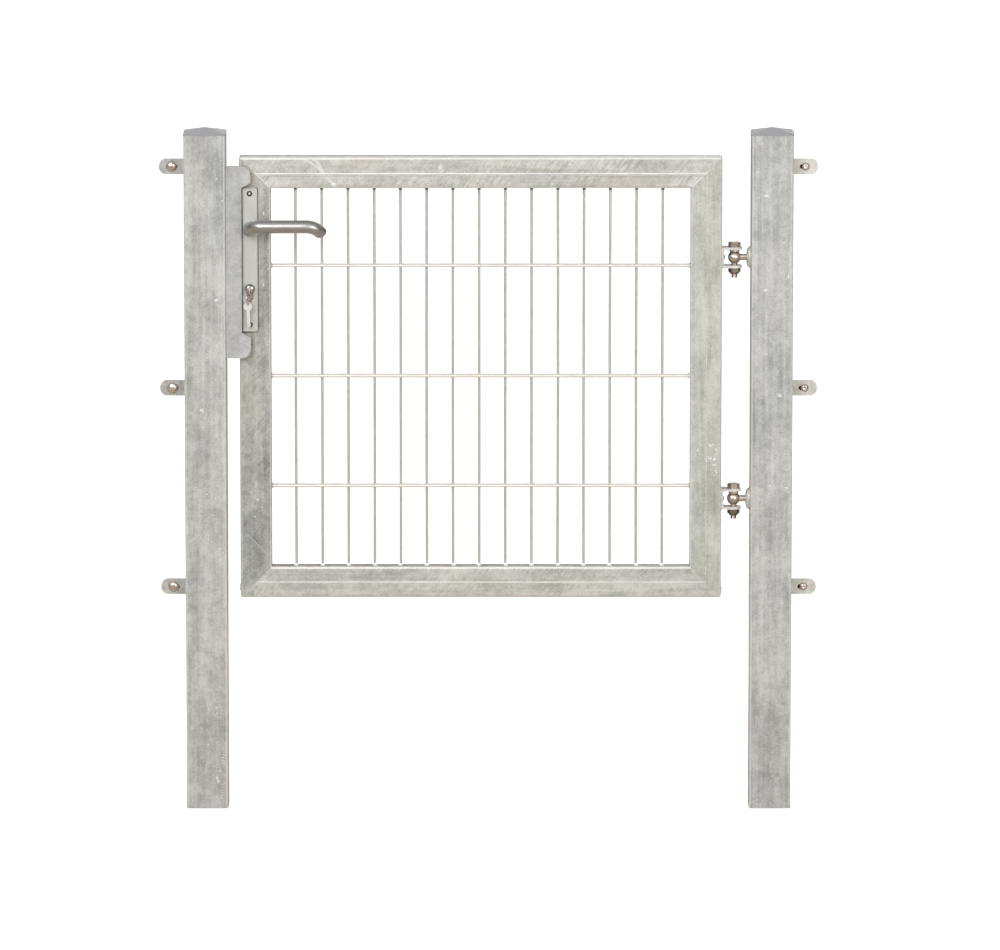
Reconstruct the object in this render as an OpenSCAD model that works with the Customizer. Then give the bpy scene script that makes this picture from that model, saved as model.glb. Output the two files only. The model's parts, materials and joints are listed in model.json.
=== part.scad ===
// Single garden gate: a mitred tube leaf with a welded wire mesh, hung on two
// adjustable eye bolts between two square posts, with lock, lever, knob and keep.
// Origin: centre of the hinge post's foot. +Z up, the leaf opens towards +Y.

/* [Posts] */
// Clear width between the two posts
clear_w = 1000; // [900:10:1300]
// Height of the posts
post_h = 1300; // [1250:10:2200]
// Width of the square posts
post_w = 80; // [70:5:100]
// Wall of the posts
post_wall = 3; // [2:0.5:5]
// Outer corner radius of the posts
post_r = 6; // [4:0.5:9]

/* [Post caps] */
// Height of the cap's straight rim
cap_rim = 3.5; // [2:0.5:8]
// Rise of the cap's shallow pyramid
cap_rise = 9; // [4:0.5:15]
// Overhang of the cap past the post's faces
cap_over = 0.5; // [0:0.1:2]
// Depth of the cap's skirt inside the post
cap_skirt = 20; // [10:1:35]
// Wall of the cap's skirt
cap_wall = 2; // [1.5:0.5:4]
// Gap between the cap's skirt and the post's bore
cap_fit = 0.2; // [0.1:0.1:0.5]

/* [Leaf frame] */
// Height of the leaf
leaf_h = 850; // [700:5:1200]
// Distance from the posts' tops down to the leaf's top
leaf_drop = 43; // [20:1:80]
// Gap between the leaf and the lock post
lock_gap = 25; // [23:1:30]
// Gap between the leaf and the hinge post
hinge_gap = 55; // [53:1:60]
// Face width of the frame tube
tube_w = 60; // [56:1:70]
// Depth of the frame tube
tube_d = 40; // [36:1:50]
// Wall of the frame tube
tube_wall = 2; // [1.5:0.5:3]
// Outer corner radius of the frame tube
tube_r = 5; // [4:0.5:8]
// Radius of the ground outer corners of the leaf
corner_r = 5; // [2:0.5:12]

/* [Mesh] */
// Diameter of the upright wires
wire_d = 5; // [4:0.5:6]
// Distance between the upright wires
wire_pitch = 50; // [40:1:60]
// Diameter of the cross wires, one in front and one behind
cross_d = 6; // [5:0.5:8]
// Distance between the pairs of cross wires
cross_pitch = 212.5; // [150:0.5:240]
// Depth to which a cross wire is welded into an upright
weld_bite = 0.6; // [0.3:0.1:1]
// Sideways place of the mesh in the frame
mesh_shift = -3; // [-8:1:8]
// Upward place of the mesh in the frame
mesh_rise = 2.5; // [-10:0.5:10]

/* [Fence lugs] */
// Distance from the posts' tops down to the upper lugs
upper_lug_drop = 63; // [40:1:120]
// Distance from the posts' tops down to the middle lugs
middle_lug_drop = 489; // [300:1:560]
// Distance from the posts' tops down to the lower lugs
lower_lug_drop = 874; // [700:1:1100]
// Reach of a lug past its post
lug_reach = 48; // [44:1:60]
// Height of a lug
lug_h = 29.5; // [24:0.5:40]
// Thickness of a lug
lug_t = 5; // [4:0.5:8]
// Radius of a lug's end
lug_end_r = 15.5; // [14:0.5:24]
// Distance of the screw from a lug's end
lug_screw_inset = 24; // [18:0.5:28]
// Length of the slot in a lug, from its screw's end towards the post
slot_l = 16; // [10:1:24]
// Width of the slot in a lug
slot_w = 9; // [8.6:0.1:11]
// Diameter of the fence screws
screw_d = 8; // [6:0.5:8]
// Length of the fence screws under the head
screw_l = 25; // [22:1:40]
// Diameter of the round heads on the lock post
round_head_d = 20.6; // [18:0.1:22]
// Height of the round heads on the lock post
round_head_h = 5; // [4:0.5:6]
// Diameter of the button heads on the hinge post
button_head_d = 14; // [13:0.5:16]
// Height of the button heads on the hinge post
button_head_h = 4.4; // [3:0.1:5]
// Width across the flats of the sockets in the button heads
socket_af = 5; // [4:0.5:6]
// Depth of these sockets
socket_depth = 2.4; // [1.5:0.1:3]
// Width across the flats of the fence screws' nuts
screw_nut_af = 13; // [12:0.5:15]
// Height of the fence screws' nuts
screw_nut_h = 6.5; // [5:0.5:8]
// Diameter of the washers under these nuts, which cover the slots
screw_washer_d = 24; // [20:0.5:26]
// Thickness of these washers
screw_washer_t = 2; // [1:0.1:3]

/* [Hinges] */
// Height of the lower hinge above the leaf's underside
lower_hinge_rise = 190; // [120:1:240]
// Distance from the leaf's top down to the upper hinge
upper_hinge_drop = 194; // [120:1:240]
// Distance of the hinge axis from the hinge post
axis_off = 31; // [30:0.5:33]
// Diameter of the hinge bolts and of the eye bolts' shanks
hinge_d = 12; // [10:0.5:12]
// Radial gap between a hinge bolt and its eye
eye_fit = 0.05; // [0.02:0.01:0.09]
// Radial gap between a hinge bolt and its bracket
tab_fit = 0.3; // [0.1:0.1:0.6]
// Diameter of an eye bolt's ball
eye_d = 25; // [24:0.5:26]
// Height of the ball between its flats
eye_h = 21; // [18:0.5:22]
// Length of an eye bolt's shank inside the post
eye_tail = 45; // [30:1:60]
// Diameter of the domed boss at its foot
boss_d = 41; // [34:0.5:46]
// Diameter of the domed boss at its mouth
boss_mouth_d = 20; // [17:0.5:24]
// Height of the domed boss
boss_h = 8; // [6:0.5:9]
// Height of the boss's straight rim
boss_rim = 1.6; // [0.5:0.1:3]
// Radial gap between a shank and its boss
boss_fit = 0.2; // [0.1:0.1:0.5]
// Clear gap between a bracket's two tabs
tab_gap = 30; // [27:0.5:34]
// Thickness of a bracket's tabs
tab_t = 5; // [4:0.5:7]
// Width of a bracket
tab_w = 28; // [26:0.5:36]
// Thickness of a bracket's web
web_t = 3.5; // [3:0.5:5]
// Radius in a bracket's inner corners
web_fillet = 3; // [1:0.5:4]
// Diameter of the domed fixing screw in a bracket's web
web_screw_d = 12; // [8:0.5:14]
// Height of that screw's head
web_screw_h = 2.6; // [2:0.1:3]
// Outer diameter of the washer on top of each ball
washer_d = 19; // [17:0.5:21]
// Running gap between the washer and the upper tab
washer_gap = 0.3; // [0.1:0.1:0.5]
// Width across the flats of the hinge bolts' heads and nuts
hex_af = 19; // [17:0.5:20]
// Height of a hinge bolt's head
hex_head_h = 7.5; // [6:0.5:9]
// Height of the hexagonal part of a lock nut
nut_hex_h = 9; // [8:0.5:11]
// Height of a lock nut's collar
nut_collar_h = 3; // [2:0.5:4]
// Diameter of a lock nut's collar at its end
nut_collar_d = 15; // [13:0.5:17]
// Step from a lock nut's flats in to its collar
nut_collar_step = 0.4; // [0.2:0.1:1]
// Length of a hinge bolt's end past its nut
bolt_end = 7.5; // [3:0.5:10]
// Radial gap between a bolt and its nut
nut_fit = 0.1; // [0.05:0.05:0.3]

/* [Lock] */
// Distance from the leaf's top down to the lever's axis
spindle_drop = 137; // [120:1:180]
// Distance of the lock's axes from the leaf's edge
backset = 20; // [18:0.5:22]
// Distance from the lever's axis down to the cylinder's axis
cylinder_drop = 115; // [92:1:120]
// Width of an escutcheon
plate_w = 30; // [28:0.5:32]
// Height of an escutcheon
plate_h = 278; // [260:1:300]
// Height of an escutcheon above the lever's axis
plate_top = 80; // [60:1:100]
// Thickness of an escutcheon
plate_t = 7; // [5:0.5:10]
// Chamfer round an escutcheon's face
plate_chamfer = 2; // [1:0.5:3]
// Corner radius of an escutcheon
plate_r = 5.5; // [3:0.5:8]
// Diameter of the countersunk seats for an escutcheon's two screws
plate_screw_d = 9.6; // [8:0.1:11]
// Depth of these seats
plate_screw_depth = 2.5; // [1.5:0.1:4]
// Distance of the upper screw from the escutcheon's top
upper_screw_inset = 12; // [9:0.5:20]
// Distance of the lower screw from the escutcheon's foot
lower_screw_inset = 14.5; // [9:0.5:20]
// Diameter of the hole for the spindle
spindle_hole_d = 14; // [12.5:0.5:16]
// Side of the square spindle
spindle_w = 8; // [7:0.5:8.5]
// Gap on each side of the spindle in the lever
spindle_fit = 0.1; // [0.05:0.05:0.3]
// Diameter of the round part of the profile cylinder
cylinder_d = 17; // [16:0.5:18]
// Width of the cylinder's lower part
cylinder_web = 10; // [9:0.5:11]
// Height of the cylinder's profile
cylinder_h = 33; // [30:0.5:34]
// Length of the cylinder past each escutcheon
cylinder_proud = 3; // [1:0.5:5]
// Gap round the cylinder in the plates, tube and case
cylinder_fit = 0.3; // [0.1:0.1:0.6]
// Width of the lock's forend
forend_w = 24; // [20:0.5:26]
// Height of the forend
forend_h = 250; // [220:1:270]
// Thickness of the forend
forend_t = 3; // [2:0.5:3.5]
// Corner radius of the forend
forend_r = 2; // [1:0.5:10]
// Thickness of the lock case
case_t = 16; // [15:0.5:20]
// Depth of the lock case behind the leaf's edge
case_depth = 50; // [46:1:54]
// Height of the lock case
case_h = 210; // [200:1:230]
// Wall of the lock case behind the latch's channel
case_wall = 2; // [1:0.5:4]
// Diameter of the follower's hole through the case
follower_d = 13; // [12.5:0.5:16]

/* [Latch] */
// Height of the latch above the lever's axis
latch_rise = 30; // [24:1:40]
// Thickness of the latch bolt
latch_t = 12; // [8:0.5:12]
// Height of the latch bolt
latch_h = 22; // [18:0.5:26]
// Length of the latch bolt
latch_l = 45; // [40:1:48]
// Reach of the latch past the leaf's edge
latch_out = 15; // [12:0.5:18]
// Length of the latch's bevel
latch_bevel = 10; // [6:0.5:11]
// Thickness of the latch's blunt nose
latch_nose = 2; // [1:0.5:4]
// Gap on each side of the latch in the lock
latch_fit = 0.2; // [0.1:0.1:0.5]

/* [Lever] */
// Diameter of the lever's round bar
lever_d = 24; // [20:0.5:26]
// Distance of the lever's bar from its escutcheon
lever_stand = 48; // [44:1:60]
// Height of the lever's bar above its axis
lever_lift = 10.5; // [4:0.5:16]
// Length of the lever's straight bar
lever_bar = 81; // [70:1:110]
// Bend radius between the lever's neck and its bar
neck_bend = 27; // [18:1:28]
// Bend radius of the lever's returned end
tip_bend = 30; // [20:1:36]
// Slope of the lever's returned end
tip_slope = 45; // [0:1:60]
// Turn of the lever's returned end
tip_turn = 62; // [50:1:90]
// Rounding of the lever's end
tip_round = 7.5; // [1:0.5:9]
// Diameter of the lever's hub
hub_d = 23; // [20:0.5:26]
// Length of the lever's hub
hub_l = 12; // [8:0.5:16]
// Chamfer between the lever's hub and its neck
hub_edge = 1; // [0.5:0.5:2]
// Gap between the spindle's end and the end of its socket in the lever
spindle_gap = 0.5; // [0.2:0.1:2]
// Gap between the lever's hub and its escutcheon
hub_gap = 0.3; // [0.2:0.1:1]

/* [Knob] */
// Diameter of the fixed knob on the back
knob_d = 46; // [40:1:50]
// Thickness of the knob's head
knob_t = 26; // [20:1:32]
// Distance of the middle of the knob's head from its escutcheon
knob_stand = 40; // [34:1:50]
// Diameter of the knob's neck
knob_neck_d = 17; // [14:0.5:20]
// Diameter of the knob's foot
knob_foot_d = 27; // [22:0.5:28]
// Height of the knob's foot
knob_foot_h = 5; // [3:0.5:8]
// Radius between the knob's neck and its foot
knob_fillet = 4; // [2:0.5:5]

/* [Keep] */
// Thickness of the keep's stop plate
stop_t = 5; // [4:0.5:6]
// Gap between the stop plate and the escutcheon's face
stop_gap = 6; // [5:0.5:8]
// Width of the stop plate beside the escutcheon
stop_w = 30; // [28:0.5:34]
// Width of the stop plate at its two lobes
lobe_w = 47; // [44:0.5:52]
// Height of the upper lobe
upper_lobe_h = 42; // [38:1:60]
// Height of the lower lobe
lower_lobe_h = 49; // [38:1:60]
// Corner radius of the lobes
lobe_r = 18; // [12:0.5:20]
// Height of the slanting edge of a lobe
lobe_slant = 10; // [4:0.5:14]
// Thickness of the keep's web on the post
keep_t = 5; // [4:0.5:6]
// Distance of the web's ends inside the stop plate's ends
web_inset = 14; // [8:1:24]
// Reach of the keep's rear lip
lip_reach = 16; // [14:0.5:16.5]
// Gap between the latch and the rear lip
lip_gap = 3; // [2:0.5:6]
// Diameter of the rubber buffers on the lobes
buffer_d = 18; // [12:0.5:20]
// Sideways place of the buffers past the middle of the lobes' arcs
buffer_shift = 4; // [0:0.5:5]
// Gap between a buffer and the closed leaf
buffer_gap = 0.3; // [0.2:0.1:1]

/* [Keys] */
// Diameter of a key's bow
bow_d = 24; // [20:0.5:28]
// Thickness of a key
key_t = 2; // [1.5:0.1:2.5]
// Width of a key's blade
blade_w = 8; // [7:0.5:9]
// Length of a key's blade
blade_l = 30; // [24:1:32]
// Length of the inserted key's neck outside the cylinder
key_neck = 3; // [2:0.5:6]
// Diameter of the hole in a key's bow
bow_hole_d = 7; // [6:0.5:8]
// Distance of that hole from the bow's centre
bow_hole_off = 6; // [4:0.5:7]
// Diameter of the spare key's bow
spare_bow_d = 18; // [16:0.5:22]
// Diameter of the key ring at its wire
ring_d = 18; // [16:0.5:24]
// Diameter of the ring's wire
ring_wire = 1.6; // [1.2:0.1:2]
// Gap between the ring's wire and the holes that it hangs in
ring_gap = 0.3; // [0.2:0.1:1]
// Gap round the blade in the keyway
key_fit = 0.2; // [0.1:0.1:0.4]

/* [Hidden] */
$fn = 48;
eps = 0.01;
// Margin by which cuts run past a face
cut = 1;
// Least radius of an inner corner
least_r = 0.5;
// Width of a cap's top point as a share of its foot
cap_point = 0.02;
zinc = [0.78, 0.79, 0.77];
steel = [0.72, 0.69, 0.65];
satin = [0.62, 0.61, 0.59];

// Posts and leaf
lock_x = -(clear_w + post_w);
leaf_z = post_h - leaf_drop - leaf_h;
hinge_face = -post_w / 2;
lock_face = lock_x + post_w / 2;
leaf_w = clear_w - lock_gap - hinge_gap;
leaf_right = hinge_face - hinge_gap;
leaf_left = leaf_right - leaf_w;
inner_w = leaf_w - 2 * tube_w;
inner_h = leaf_h - 2 * tube_w;
leaf_front = -tube_d / 2;

// Fence lugs
lug_heights = [post_h - lower_lug_drop, post_h - middle_lug_drop, post_h - upper_lug_drop];
lug_arc_r = max(lug_end_r, lug_h / 2);
lug_screw_x = lug_reach - lug_screw_inset;

// Mesh: as many wires as the opening takes at the pitch
wire_count = floor(inner_w / wire_pitch) - 1;
cross_count = floor(inner_h / cross_pitch);
cross_y = (wire_d + cross_d) / 2 - weld_bite;
mesh_x = (leaf_left + leaf_right) / 2 + mesh_shift;
mesh_z = leaf_z + leaf_h / 2 + mesh_rise;

// Hinges
lower_hinge_z = leaf_z + lower_hinge_rise;
upper_hinge_z = leaf_z + leaf_h - upper_hinge_drop;
hinge_heights = [lower_hinge_z, upper_hinge_z];
axis_x = hinge_face - axis_off;
tab_top = tab_gap / 2 + tab_t;
hex_d = hex_af / cos(30);
bolt_l = 2 * tab_top + nut_hex_h + nut_collar_h + bolt_end;
shank_r = hinge_d / 2;

// Lock
spindle_x = leaf_left + backset;
spindle_z = leaf_z + leaf_h - spindle_drop;
cylinder_z = spindle_z - cylinder_drop;
plate_z = spindle_z + plate_top - plate_h;
plate_mid = plate_z + plate_h / 2;
plate_face = tube_d / 2 + plate_t;
latch_z = spindle_z + latch_rise;
lever_r = lever_d / 2;
socket_y = plate_face + hub_l - hub_edge;

// Centre line of the lever from its hub, as [x, y, z, radius]: hub, neck, bend, bar, returned end
lever_sides = 24;
bend_steps = 8;
round_angles = [30, 60, 80];
neck_y = lever_stand - hub_gap;
function lift_at(out) = let (t = max(0, (out - hub_l) / (neck_y - hub_l))) lever_lift * t * t * (3 - 2 * t);
function neck_at(a) = let (out = neck_y - neck_bend * (1 - sin(a)))
    [neck_bend * (1 - cos(a)), -out, lift_at(out), lever_r];
function tip_at(a, r) = let (back = tip_bend * (1 - cos(a)))
    [neck_bend + lever_bar + tip_bend * sin(a), back * cos(tip_slope) - neck_y,
        lever_lift - back * sin(tip_slope), r];
lever_line = concat(
    [[0, 0, 0, hub_d / 2], [0, hub_edge - hub_l, 0, hub_d / 2], [0, -hub_l, 0, lever_r]],
    [for (i = [0:bend_steps]) neck_at(90 * i / bend_steps)],
    [[neck_bend + lever_bar / 2, -neck_y, lever_lift, lever_r]],
    [for (i = [0:bend_steps]) tip_at(tip_turn * i / bend_steps, lever_r)],
    [for (a = round_angles) tip_at(tip_turn + tip_round / tip_bend * sin(a) * 180 / PI,
        lever_r - tip_round * (1 - cos(a)))]);
function axis_of(i, last) = let (p = lever_line[max(i - 1, 0)], q = lever_line[min(i + 1, last)],
    d = [q.x - p.x, q.y - p.y, q.z - p.z]) d / norm(d);
function lever_point(i, last, a) = let (c = lever_line[i], t = axis_of(i, last),
    side = cross(t, [0, 0, 1]), u = side / norm(side), v = cross(u, t))
    [c.x, c.y, c.z] + c[3] * (cos(a) * u + sin(a) * v);
function lever_face(i, k) = let (n = lever_sides, m = (k + 1) % n)
    [i * n + k, (i + 1) * n + k, (i + 1) * n + m, i * n + m];

// Keep
stop_back = plate_face + stop_gap;
keep_top = plate_z + plate_h + upper_lobe_h;
keep_bottom = plate_z - lower_lobe_h;
lip_y = latch_t / 2 + lip_gap;
buffer_x = lock_face + lobe_w - lobe_r + buffer_shift;

// Keys
key_y = plate_face + cylinder_proud;
bow_y = key_y + key_neck + bow_d / 2;
hole_z = cylinder_z - bow_hole_off;
ring_z = hole_z - bow_hole_d / 2 + ring_wire / 2 + ring_gap - ring_d / 2;
spare_z = ring_z - ring_d / 2 - ring_wire / 2 - ring_gap + bow_hole_d / 2 - bow_hole_off;

// ---------- shared shapes ----------

// Rectangle with round corners
module rounded_rect(w, h, r) {
    square([w - 2 * r, h], center = true);
    square([w, h - 2 * r], center = true);
    for (x = [-1, 1], y = [-1, 1])
        translate([x * (w / 2 - r), y * (h / 2 - r)])
            circle(r = r);
}

// Square tube with round corners, standing on z = 0
module square_tube(w, d, h, r, wall) {
    linear_extrude(height = h)
        difference() {
            rounded_rect(w, d, r);
            rounded_rect(w - 2 * wall, d - 2 * wall, max(r - wall, least_r));
        }
}

// Turns a flat outline in x and z into a plate from front_y to front_y + t
module upright_plate(front_y, t) {
    translate([0, front_y + t, 0])
        rotate([90, 0, 0])
            linear_extrude(height = t)
                children();
}

// Round bar along y
module bar_y(r, y0, y1) {
    translate([0, y1, 0])
        rotate([90, 0, 0])
            cylinder(h = y1 - y0, r = r);
}

// Low dome standing on z = 0
module dome(d, h) {
    ball = (d * d / 4 + h * h) / (2 * h);
    intersection() {
        translate([0, 0, h - ball])
            sphere(r = ball);
        cylinder(h = h + cut, r = d / 2 + cut);
    }
}

// ---------- posts ----------

module post() {
    square_tube(post_w, post_w, post_h, post_r, post_wall);
}

module lock_post() {
    color(zinc)
        translate([lock_x, 0, 0])
            post();
}

// The eye bolts pass through the inner face of the hinge post
module hinge_post() {
    color(zinc)
        difference() {
            post();
            for (z = hinge_heights)
                translate([hinge_face - cut, 0, z])
                    rotate([0, 90, 0])
                        cylinder(h = post_wall + 2 * cut, r = shank_r + boss_fit);
        }
}

// Rim and shallow pyramid over a skirt that plugs the post
module post_cap() {
    bore = post_w - 2 * post_wall - 2 * cap_fit;
    half = post_w / 2 + cap_over;
    bore_r = max(post_r - post_wall, least_r);
    translate([0, 0, post_h])
        linear_extrude(height = cap_rim)
            rounded_rect(2 * half, 2 * half, post_r);
    translate([0, 0, post_h + cap_rim])
        linear_extrude(height = cap_rise, scale = cap_point)
            rounded_rect(2 * half, 2 * half, post_r, $fn = 16);
    translate([0, 0, post_h - cap_skirt])
        square_tube(bore, bore, cap_skirt + eps, bore_r, cap_wall);
}

module lock_post_cap() {
    color([0.45, 0.45, 0.47])
        translate([lock_x, 0, 0])
            post_cap();
}

module hinge_post_cap() {
    color([0.45, 0.45, 0.47])
        post_cap();
}

// ---------- fence lugs on the outer sides ----------

// Slotted lug that reaches to +x from x = 0, with its slot open from the screw's far side inwards
module lug() {
    slot_run = slot_l - slot_w;
    upright_plate(-lug_t / 2, lug_t)
        difference() {
            intersection() {
                translate([0, -lug_h / 2])
                    square([lug_reach, lug_h]);
                union() {
                    translate([0, -lug_h / 2])
                        square([lug_reach - lug_arc_r, lug_h]);
                    translate([lug_reach - lug_arc_r, 0])
                        circle(r = lug_arc_r);
                }
            }
            translate([lug_screw_x - slot_run, -slot_w / 2])
                square([slot_run, slot_w]);
            for (back = [0, slot_run])
                translate([lug_screw_x - back, 0])
                    circle(d = slot_w);
        }
}

// Places a child at each lug height on the outer side of the lock or hinge post
module at_lock_lugs() {
    for (z = lug_heights)
        translate([lock_x - post_w / 2, 0, z])
            mirror([1, 0, 0])
                children();
}

module at_hinge_lugs() {
    for (z = lug_heights)
        translate([post_w / 2, 0, z])
            children();
}

// Screw from the front through the lug, with a domed head
module fence_screw(head_d, head_h) {
    translate([lug_screw_x, -lug_t / 2, 0]) {
        rotate([90, 0, 0])
            dome(head_d, head_h);
        bar_y(screw_d / 2, -eps, screw_l);
    }
}

// Hexagon socket in the front of a button head
module hex_socket() {
    translate([lug_screw_x, socket_depth - button_head_h - lug_t / 2, 0])
        rotate([90, 0, 0])
            cylinder(h = socket_depth + cut, d = socket_af / cos(30), $fn = 6);
}

// Washer and nut behind the lug, as one turned and hexagonal piece
module fence_nut() {
    stack = screw_washer_t + screw_nut_h;
    translate([lug_screw_x, lug_t / 2 + stack, 0])
        rotate([90, 0, 0])
            difference() {
                union() {
                    cylinder(h = stack, d = screw_nut_af / cos(30), $fn = 6);
                    translate([0, 0, screw_nut_h])
                        cylinder(h = screw_washer_t, d = screw_washer_d);
                }
                translate([0, 0, -cut])
                    cylinder(h = stack + 2 * cut, r = screw_d / 2 + nut_fit);
            }
}

module lock_post_lugs() {
    color(zinc)
        at_lock_lugs()
            lug();
}

module hinge_post_lugs() {
    color(zinc)
        at_hinge_lugs()
            lug();
}

module round_head_screws() {
    color(steel)
        at_lock_lugs()
            fence_screw(round_head_d, round_head_h);
}

module button_head_screws() {
    color(steel)
        at_hinge_lugs()
            difference() {
                fence_screw(button_head_d, button_head_h);
                hex_socket();
            }
}

module fence_screw_nuts() {
    color(steel) {
        at_lock_lugs()
            fence_nut();
        at_hinge_lugs()
            fence_nut();
    }
}

// ---------- keep on the lock post ----------

// Outline of the stop plate, with a lobe at each end and a recess for the escutcheon between them
module stop_outline(h) {
    polygon([[0, 0], [lobe_w - lobe_r, 0], [lobe_w, lobe_r], [lobe_w, lower_lobe_h - lobe_slant],
        [stop_w, lower_lobe_h], [stop_w, h - upper_lobe_h], [lobe_w, h - upper_lobe_h + lobe_slant],
        [lobe_w, h - lobe_r], [lobe_w - lobe_r, h], [0, h]]);
    for (z = [lobe_r, h - lobe_r])
        translate([lobe_w - lobe_r, z])
            circle(r = lobe_r);
}

// Stop plate in front, with a lower web on the post and a lip behind the latch folded from one section
module lock_keep() {
    h = keep_top - keep_bottom;
    color([0.68, 0.68, 0.7])
        translate([lock_face, 0, keep_bottom]) {
            upright_plate(-stop_back - stop_t, stop_t)
                stop_outline(h);
            translate([0, 0, web_inset])
                linear_extrude(height = h - 2 * web_inset)
                    polygon([[0, -stop_back - stop_t / 2], [keep_t, -stop_back - stop_t / 2], [keep_t, lip_y],
                        [lip_reach, lip_y], [lip_reach, lip_y + keep_t], [0, lip_y + keep_t]]);
        }
}

// Rubber buffers behind the lobes, on which the closed leaf rests
module stop_buffers() {
    color([0.1, 0.1, 0.1])
        for (z = [keep_bottom + lobe_r, keep_top - lobe_r])
            translate([buffer_x, 0, z])
                bar_y(buffer_d / 2, -stop_back, leaf_front - buffer_gap);
}

// ---------- hinges on the hinge post ----------

// Domed boss welded to the post, bored for the eye bolt's shank
module hinge_boss(z) {
    foot = boss_d / 2;
    mouth = boss_mouth_d / 2;
    bore = shank_r + boss_fit;
    translate([hinge_face, 0, z])
        rotate([0, -90, 0])
            rotate_extrude()
                polygon(concat([[bore, boss_h], [bore, 0], [foot, 0]],
                    [for (a = [0:15:90])
                        [mouth + (foot - mouth) * cos(a), boss_rim + (boss_h - boss_rim) * sin(a)]]));
}

// Ball with flats, bored upright for the hinge bolt, on a straight shank
module eye_bolt(z) {
    translate([axis_x, 0, z])
        difference() {
            union() {
                intersection() {
                    sphere(d = eye_d);
                    cube([2 * eye_d, 2 * eye_d, eye_h], center = true);
                }
                rotate([0, 90, 0])
                    cylinder(h = axis_off + eye_tail, r = shank_r);
            }
            translate([0, 0, -eye_d])
                cylinder(h = 2 * eye_d, r = shank_r + eye_fit);
        }
}

// Washers between the balls and the upper tabs, which carry the leaf
module hinge_washers() {
    color(steel)
        for (z = hinge_heights)
            translate([axis_x, 0, z + eye_h / 2])
                difference() {
                    cylinder(h = (tab_gap - eye_h) / 2 - washer_gap, d = washer_d);
                    translate([0, 0, -cut])
                        cylinder(h = tab_gap, r = shank_r + eye_fit);
                }
}

module upper_hinge_boss() {
    color(zinc)
        hinge_boss(upper_hinge_z);
}

module lower_hinge_boss() {
    color(zinc)
        hinge_boss(lower_hinge_z);
}

module upper_eye_bolt() {
    color(steel)
        eye_bolt(upper_hinge_z);
}

module lower_eye_bolt() {
    color(steel)
        eye_bolt(lower_hinge_z);
}

// ---------- leaf ----------

// Tube of the frame, cut to mitres at both ends, its outer face on the -x side
module frame_bar(len) {
    intersection() {
        square_tube(tube_w, tube_d, len, tube_r, tube_wall);
        upright_plate(-tube_d, 2 * tube_d)
            polygon([[-tube_w / 2, 0], [tube_w / 2, tube_w], [tube_w / 2, len - tube_w],
                [-tube_w / 2, len]]);
    }
}

// The whole leaf's outline, with its ground corners
module leaf_block() {
    upright_plate(-tube_d, 2 * tube_d)
        translate([leaf_left + leaf_w / 2, leaf_z + leaf_h / 2])
            rounded_rect(leaf_w, leaf_h, corner_r);
}

module top_rail() {
    color(zinc)
        intersection() {
            translate([leaf_left, 0, leaf_z + leaf_h - tube_w / 2])
                rotate([0, 90, 0])
                    frame_bar(leaf_w);
            leaf_block();
        }
}

module bottom_rail() {
    color(zinc)
        intersection() {
            translate([leaf_left, 0, leaf_z + tube_w / 2])
                rotate([0, 90, 0])
                    mirror([1, 0, 0])
                        frame_bar(leaf_w);
            leaf_block();
        }
}

module hinge_stile() {
    color(zinc)
        intersection() {
            translate([leaf_right - tube_w / 2, 0, leaf_z])
                mirror([1, 0, 0])
                    frame_bar(leaf_h);
            leaf_block();
        }
}

// The lock stile is cut for the lock case, the spindle and the cylinder
module lock_stile() {
    color(zinc)
        difference() {
            intersection() {
                translate([leaf_left + tube_w / 2, 0, leaf_z])
                    frame_bar(leaf_h);
                leaf_block();
            }
            translate([leaf_left - cut, -case_t / 2 - latch_fit, plate_mid - case_h / 2 - latch_fit])
                cube([tube_wall + 2 * cut, case_t + 2 * latch_fit, case_h + 2 * latch_fit]);
            lock_holes();
        }
}

// Upright wires with a cross wire welded on each side
module mesh_mat() {
    color([0.74, 0.75, 0.75]) {
        for (i = [0:wire_count - 1])
            translate([mesh_x + (i - (wire_count - 1) / 2) * wire_pitch, 0, leaf_z + tube_w])
                cylinder(h = inner_h, d = wire_d, $fn = 8);
        for (i = [0:cross_count - 1], side = [-1, 1])
            translate([leaf_left + tube_w, side * cross_y,
                mesh_z + (i - (cross_count - 1) / 2) * cross_pitch])
                rotate([0, 90, 0])
                    cylinder(h = inner_w, d = cross_d, $fn = 8);
    }
}

// Two tabs and a web; the tabs end in an arc about the hinge axis
module hinge_bracket(z) {
    reach = axis_x - leaf_right + tab_w / 2;
    translate([leaf_right, 0, z])
        difference() {
            union() {
                intersection() {
                    upright_plate(-tab_w / 2, tab_w)
                        difference() {
                            translate([0, -tab_top])
                                square([reach, 2 * tab_top]);
                            translate([web_t + web_fillet, -tab_gap / 2])
                                square([reach, tab_gap]);
                            translate([web_t, -tab_gap / 2 + web_fillet])
                                square([reach, tab_gap - 2 * web_fillet]);
                            for (side = [-1, 1])
                                translate([web_t + web_fillet, side * (tab_gap / 2 - web_fillet)])
                                    circle(r = web_fillet);
                        }
                    translate([0, 0, -tab_top])
                        linear_extrude(height = 2 * tab_top) {
                            translate([0, -tab_w / 2])
                                square([reach - tab_w / 2, tab_w]);
                            translate([reach - tab_w / 2, 0])
                                circle(d = tab_w);
                        }
                }
                translate([web_t - eps, 0, 0])
                    rotate([0, 90, 0])
                        dome(web_screw_d, web_screw_h);
            }
            translate([axis_x - leaf_right, 0, -tab_top - cut])
                cylinder(h = 2 * (tab_top + cut), r = shank_r + tab_fit);
        }
}

// Hexagon bolt from above through the upper tab, washer, ball, lower tab and nut
module hinge_bolt(z) {
    translate([axis_x, 0, z + tab_top]) {
        cylinder(h = hex_head_h, d = hex_d, $fn = 6);
        translate([0, 0, -bolt_l])
            cylinder(h = bolt_l + eps, r = shank_r);
    }
}

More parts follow.
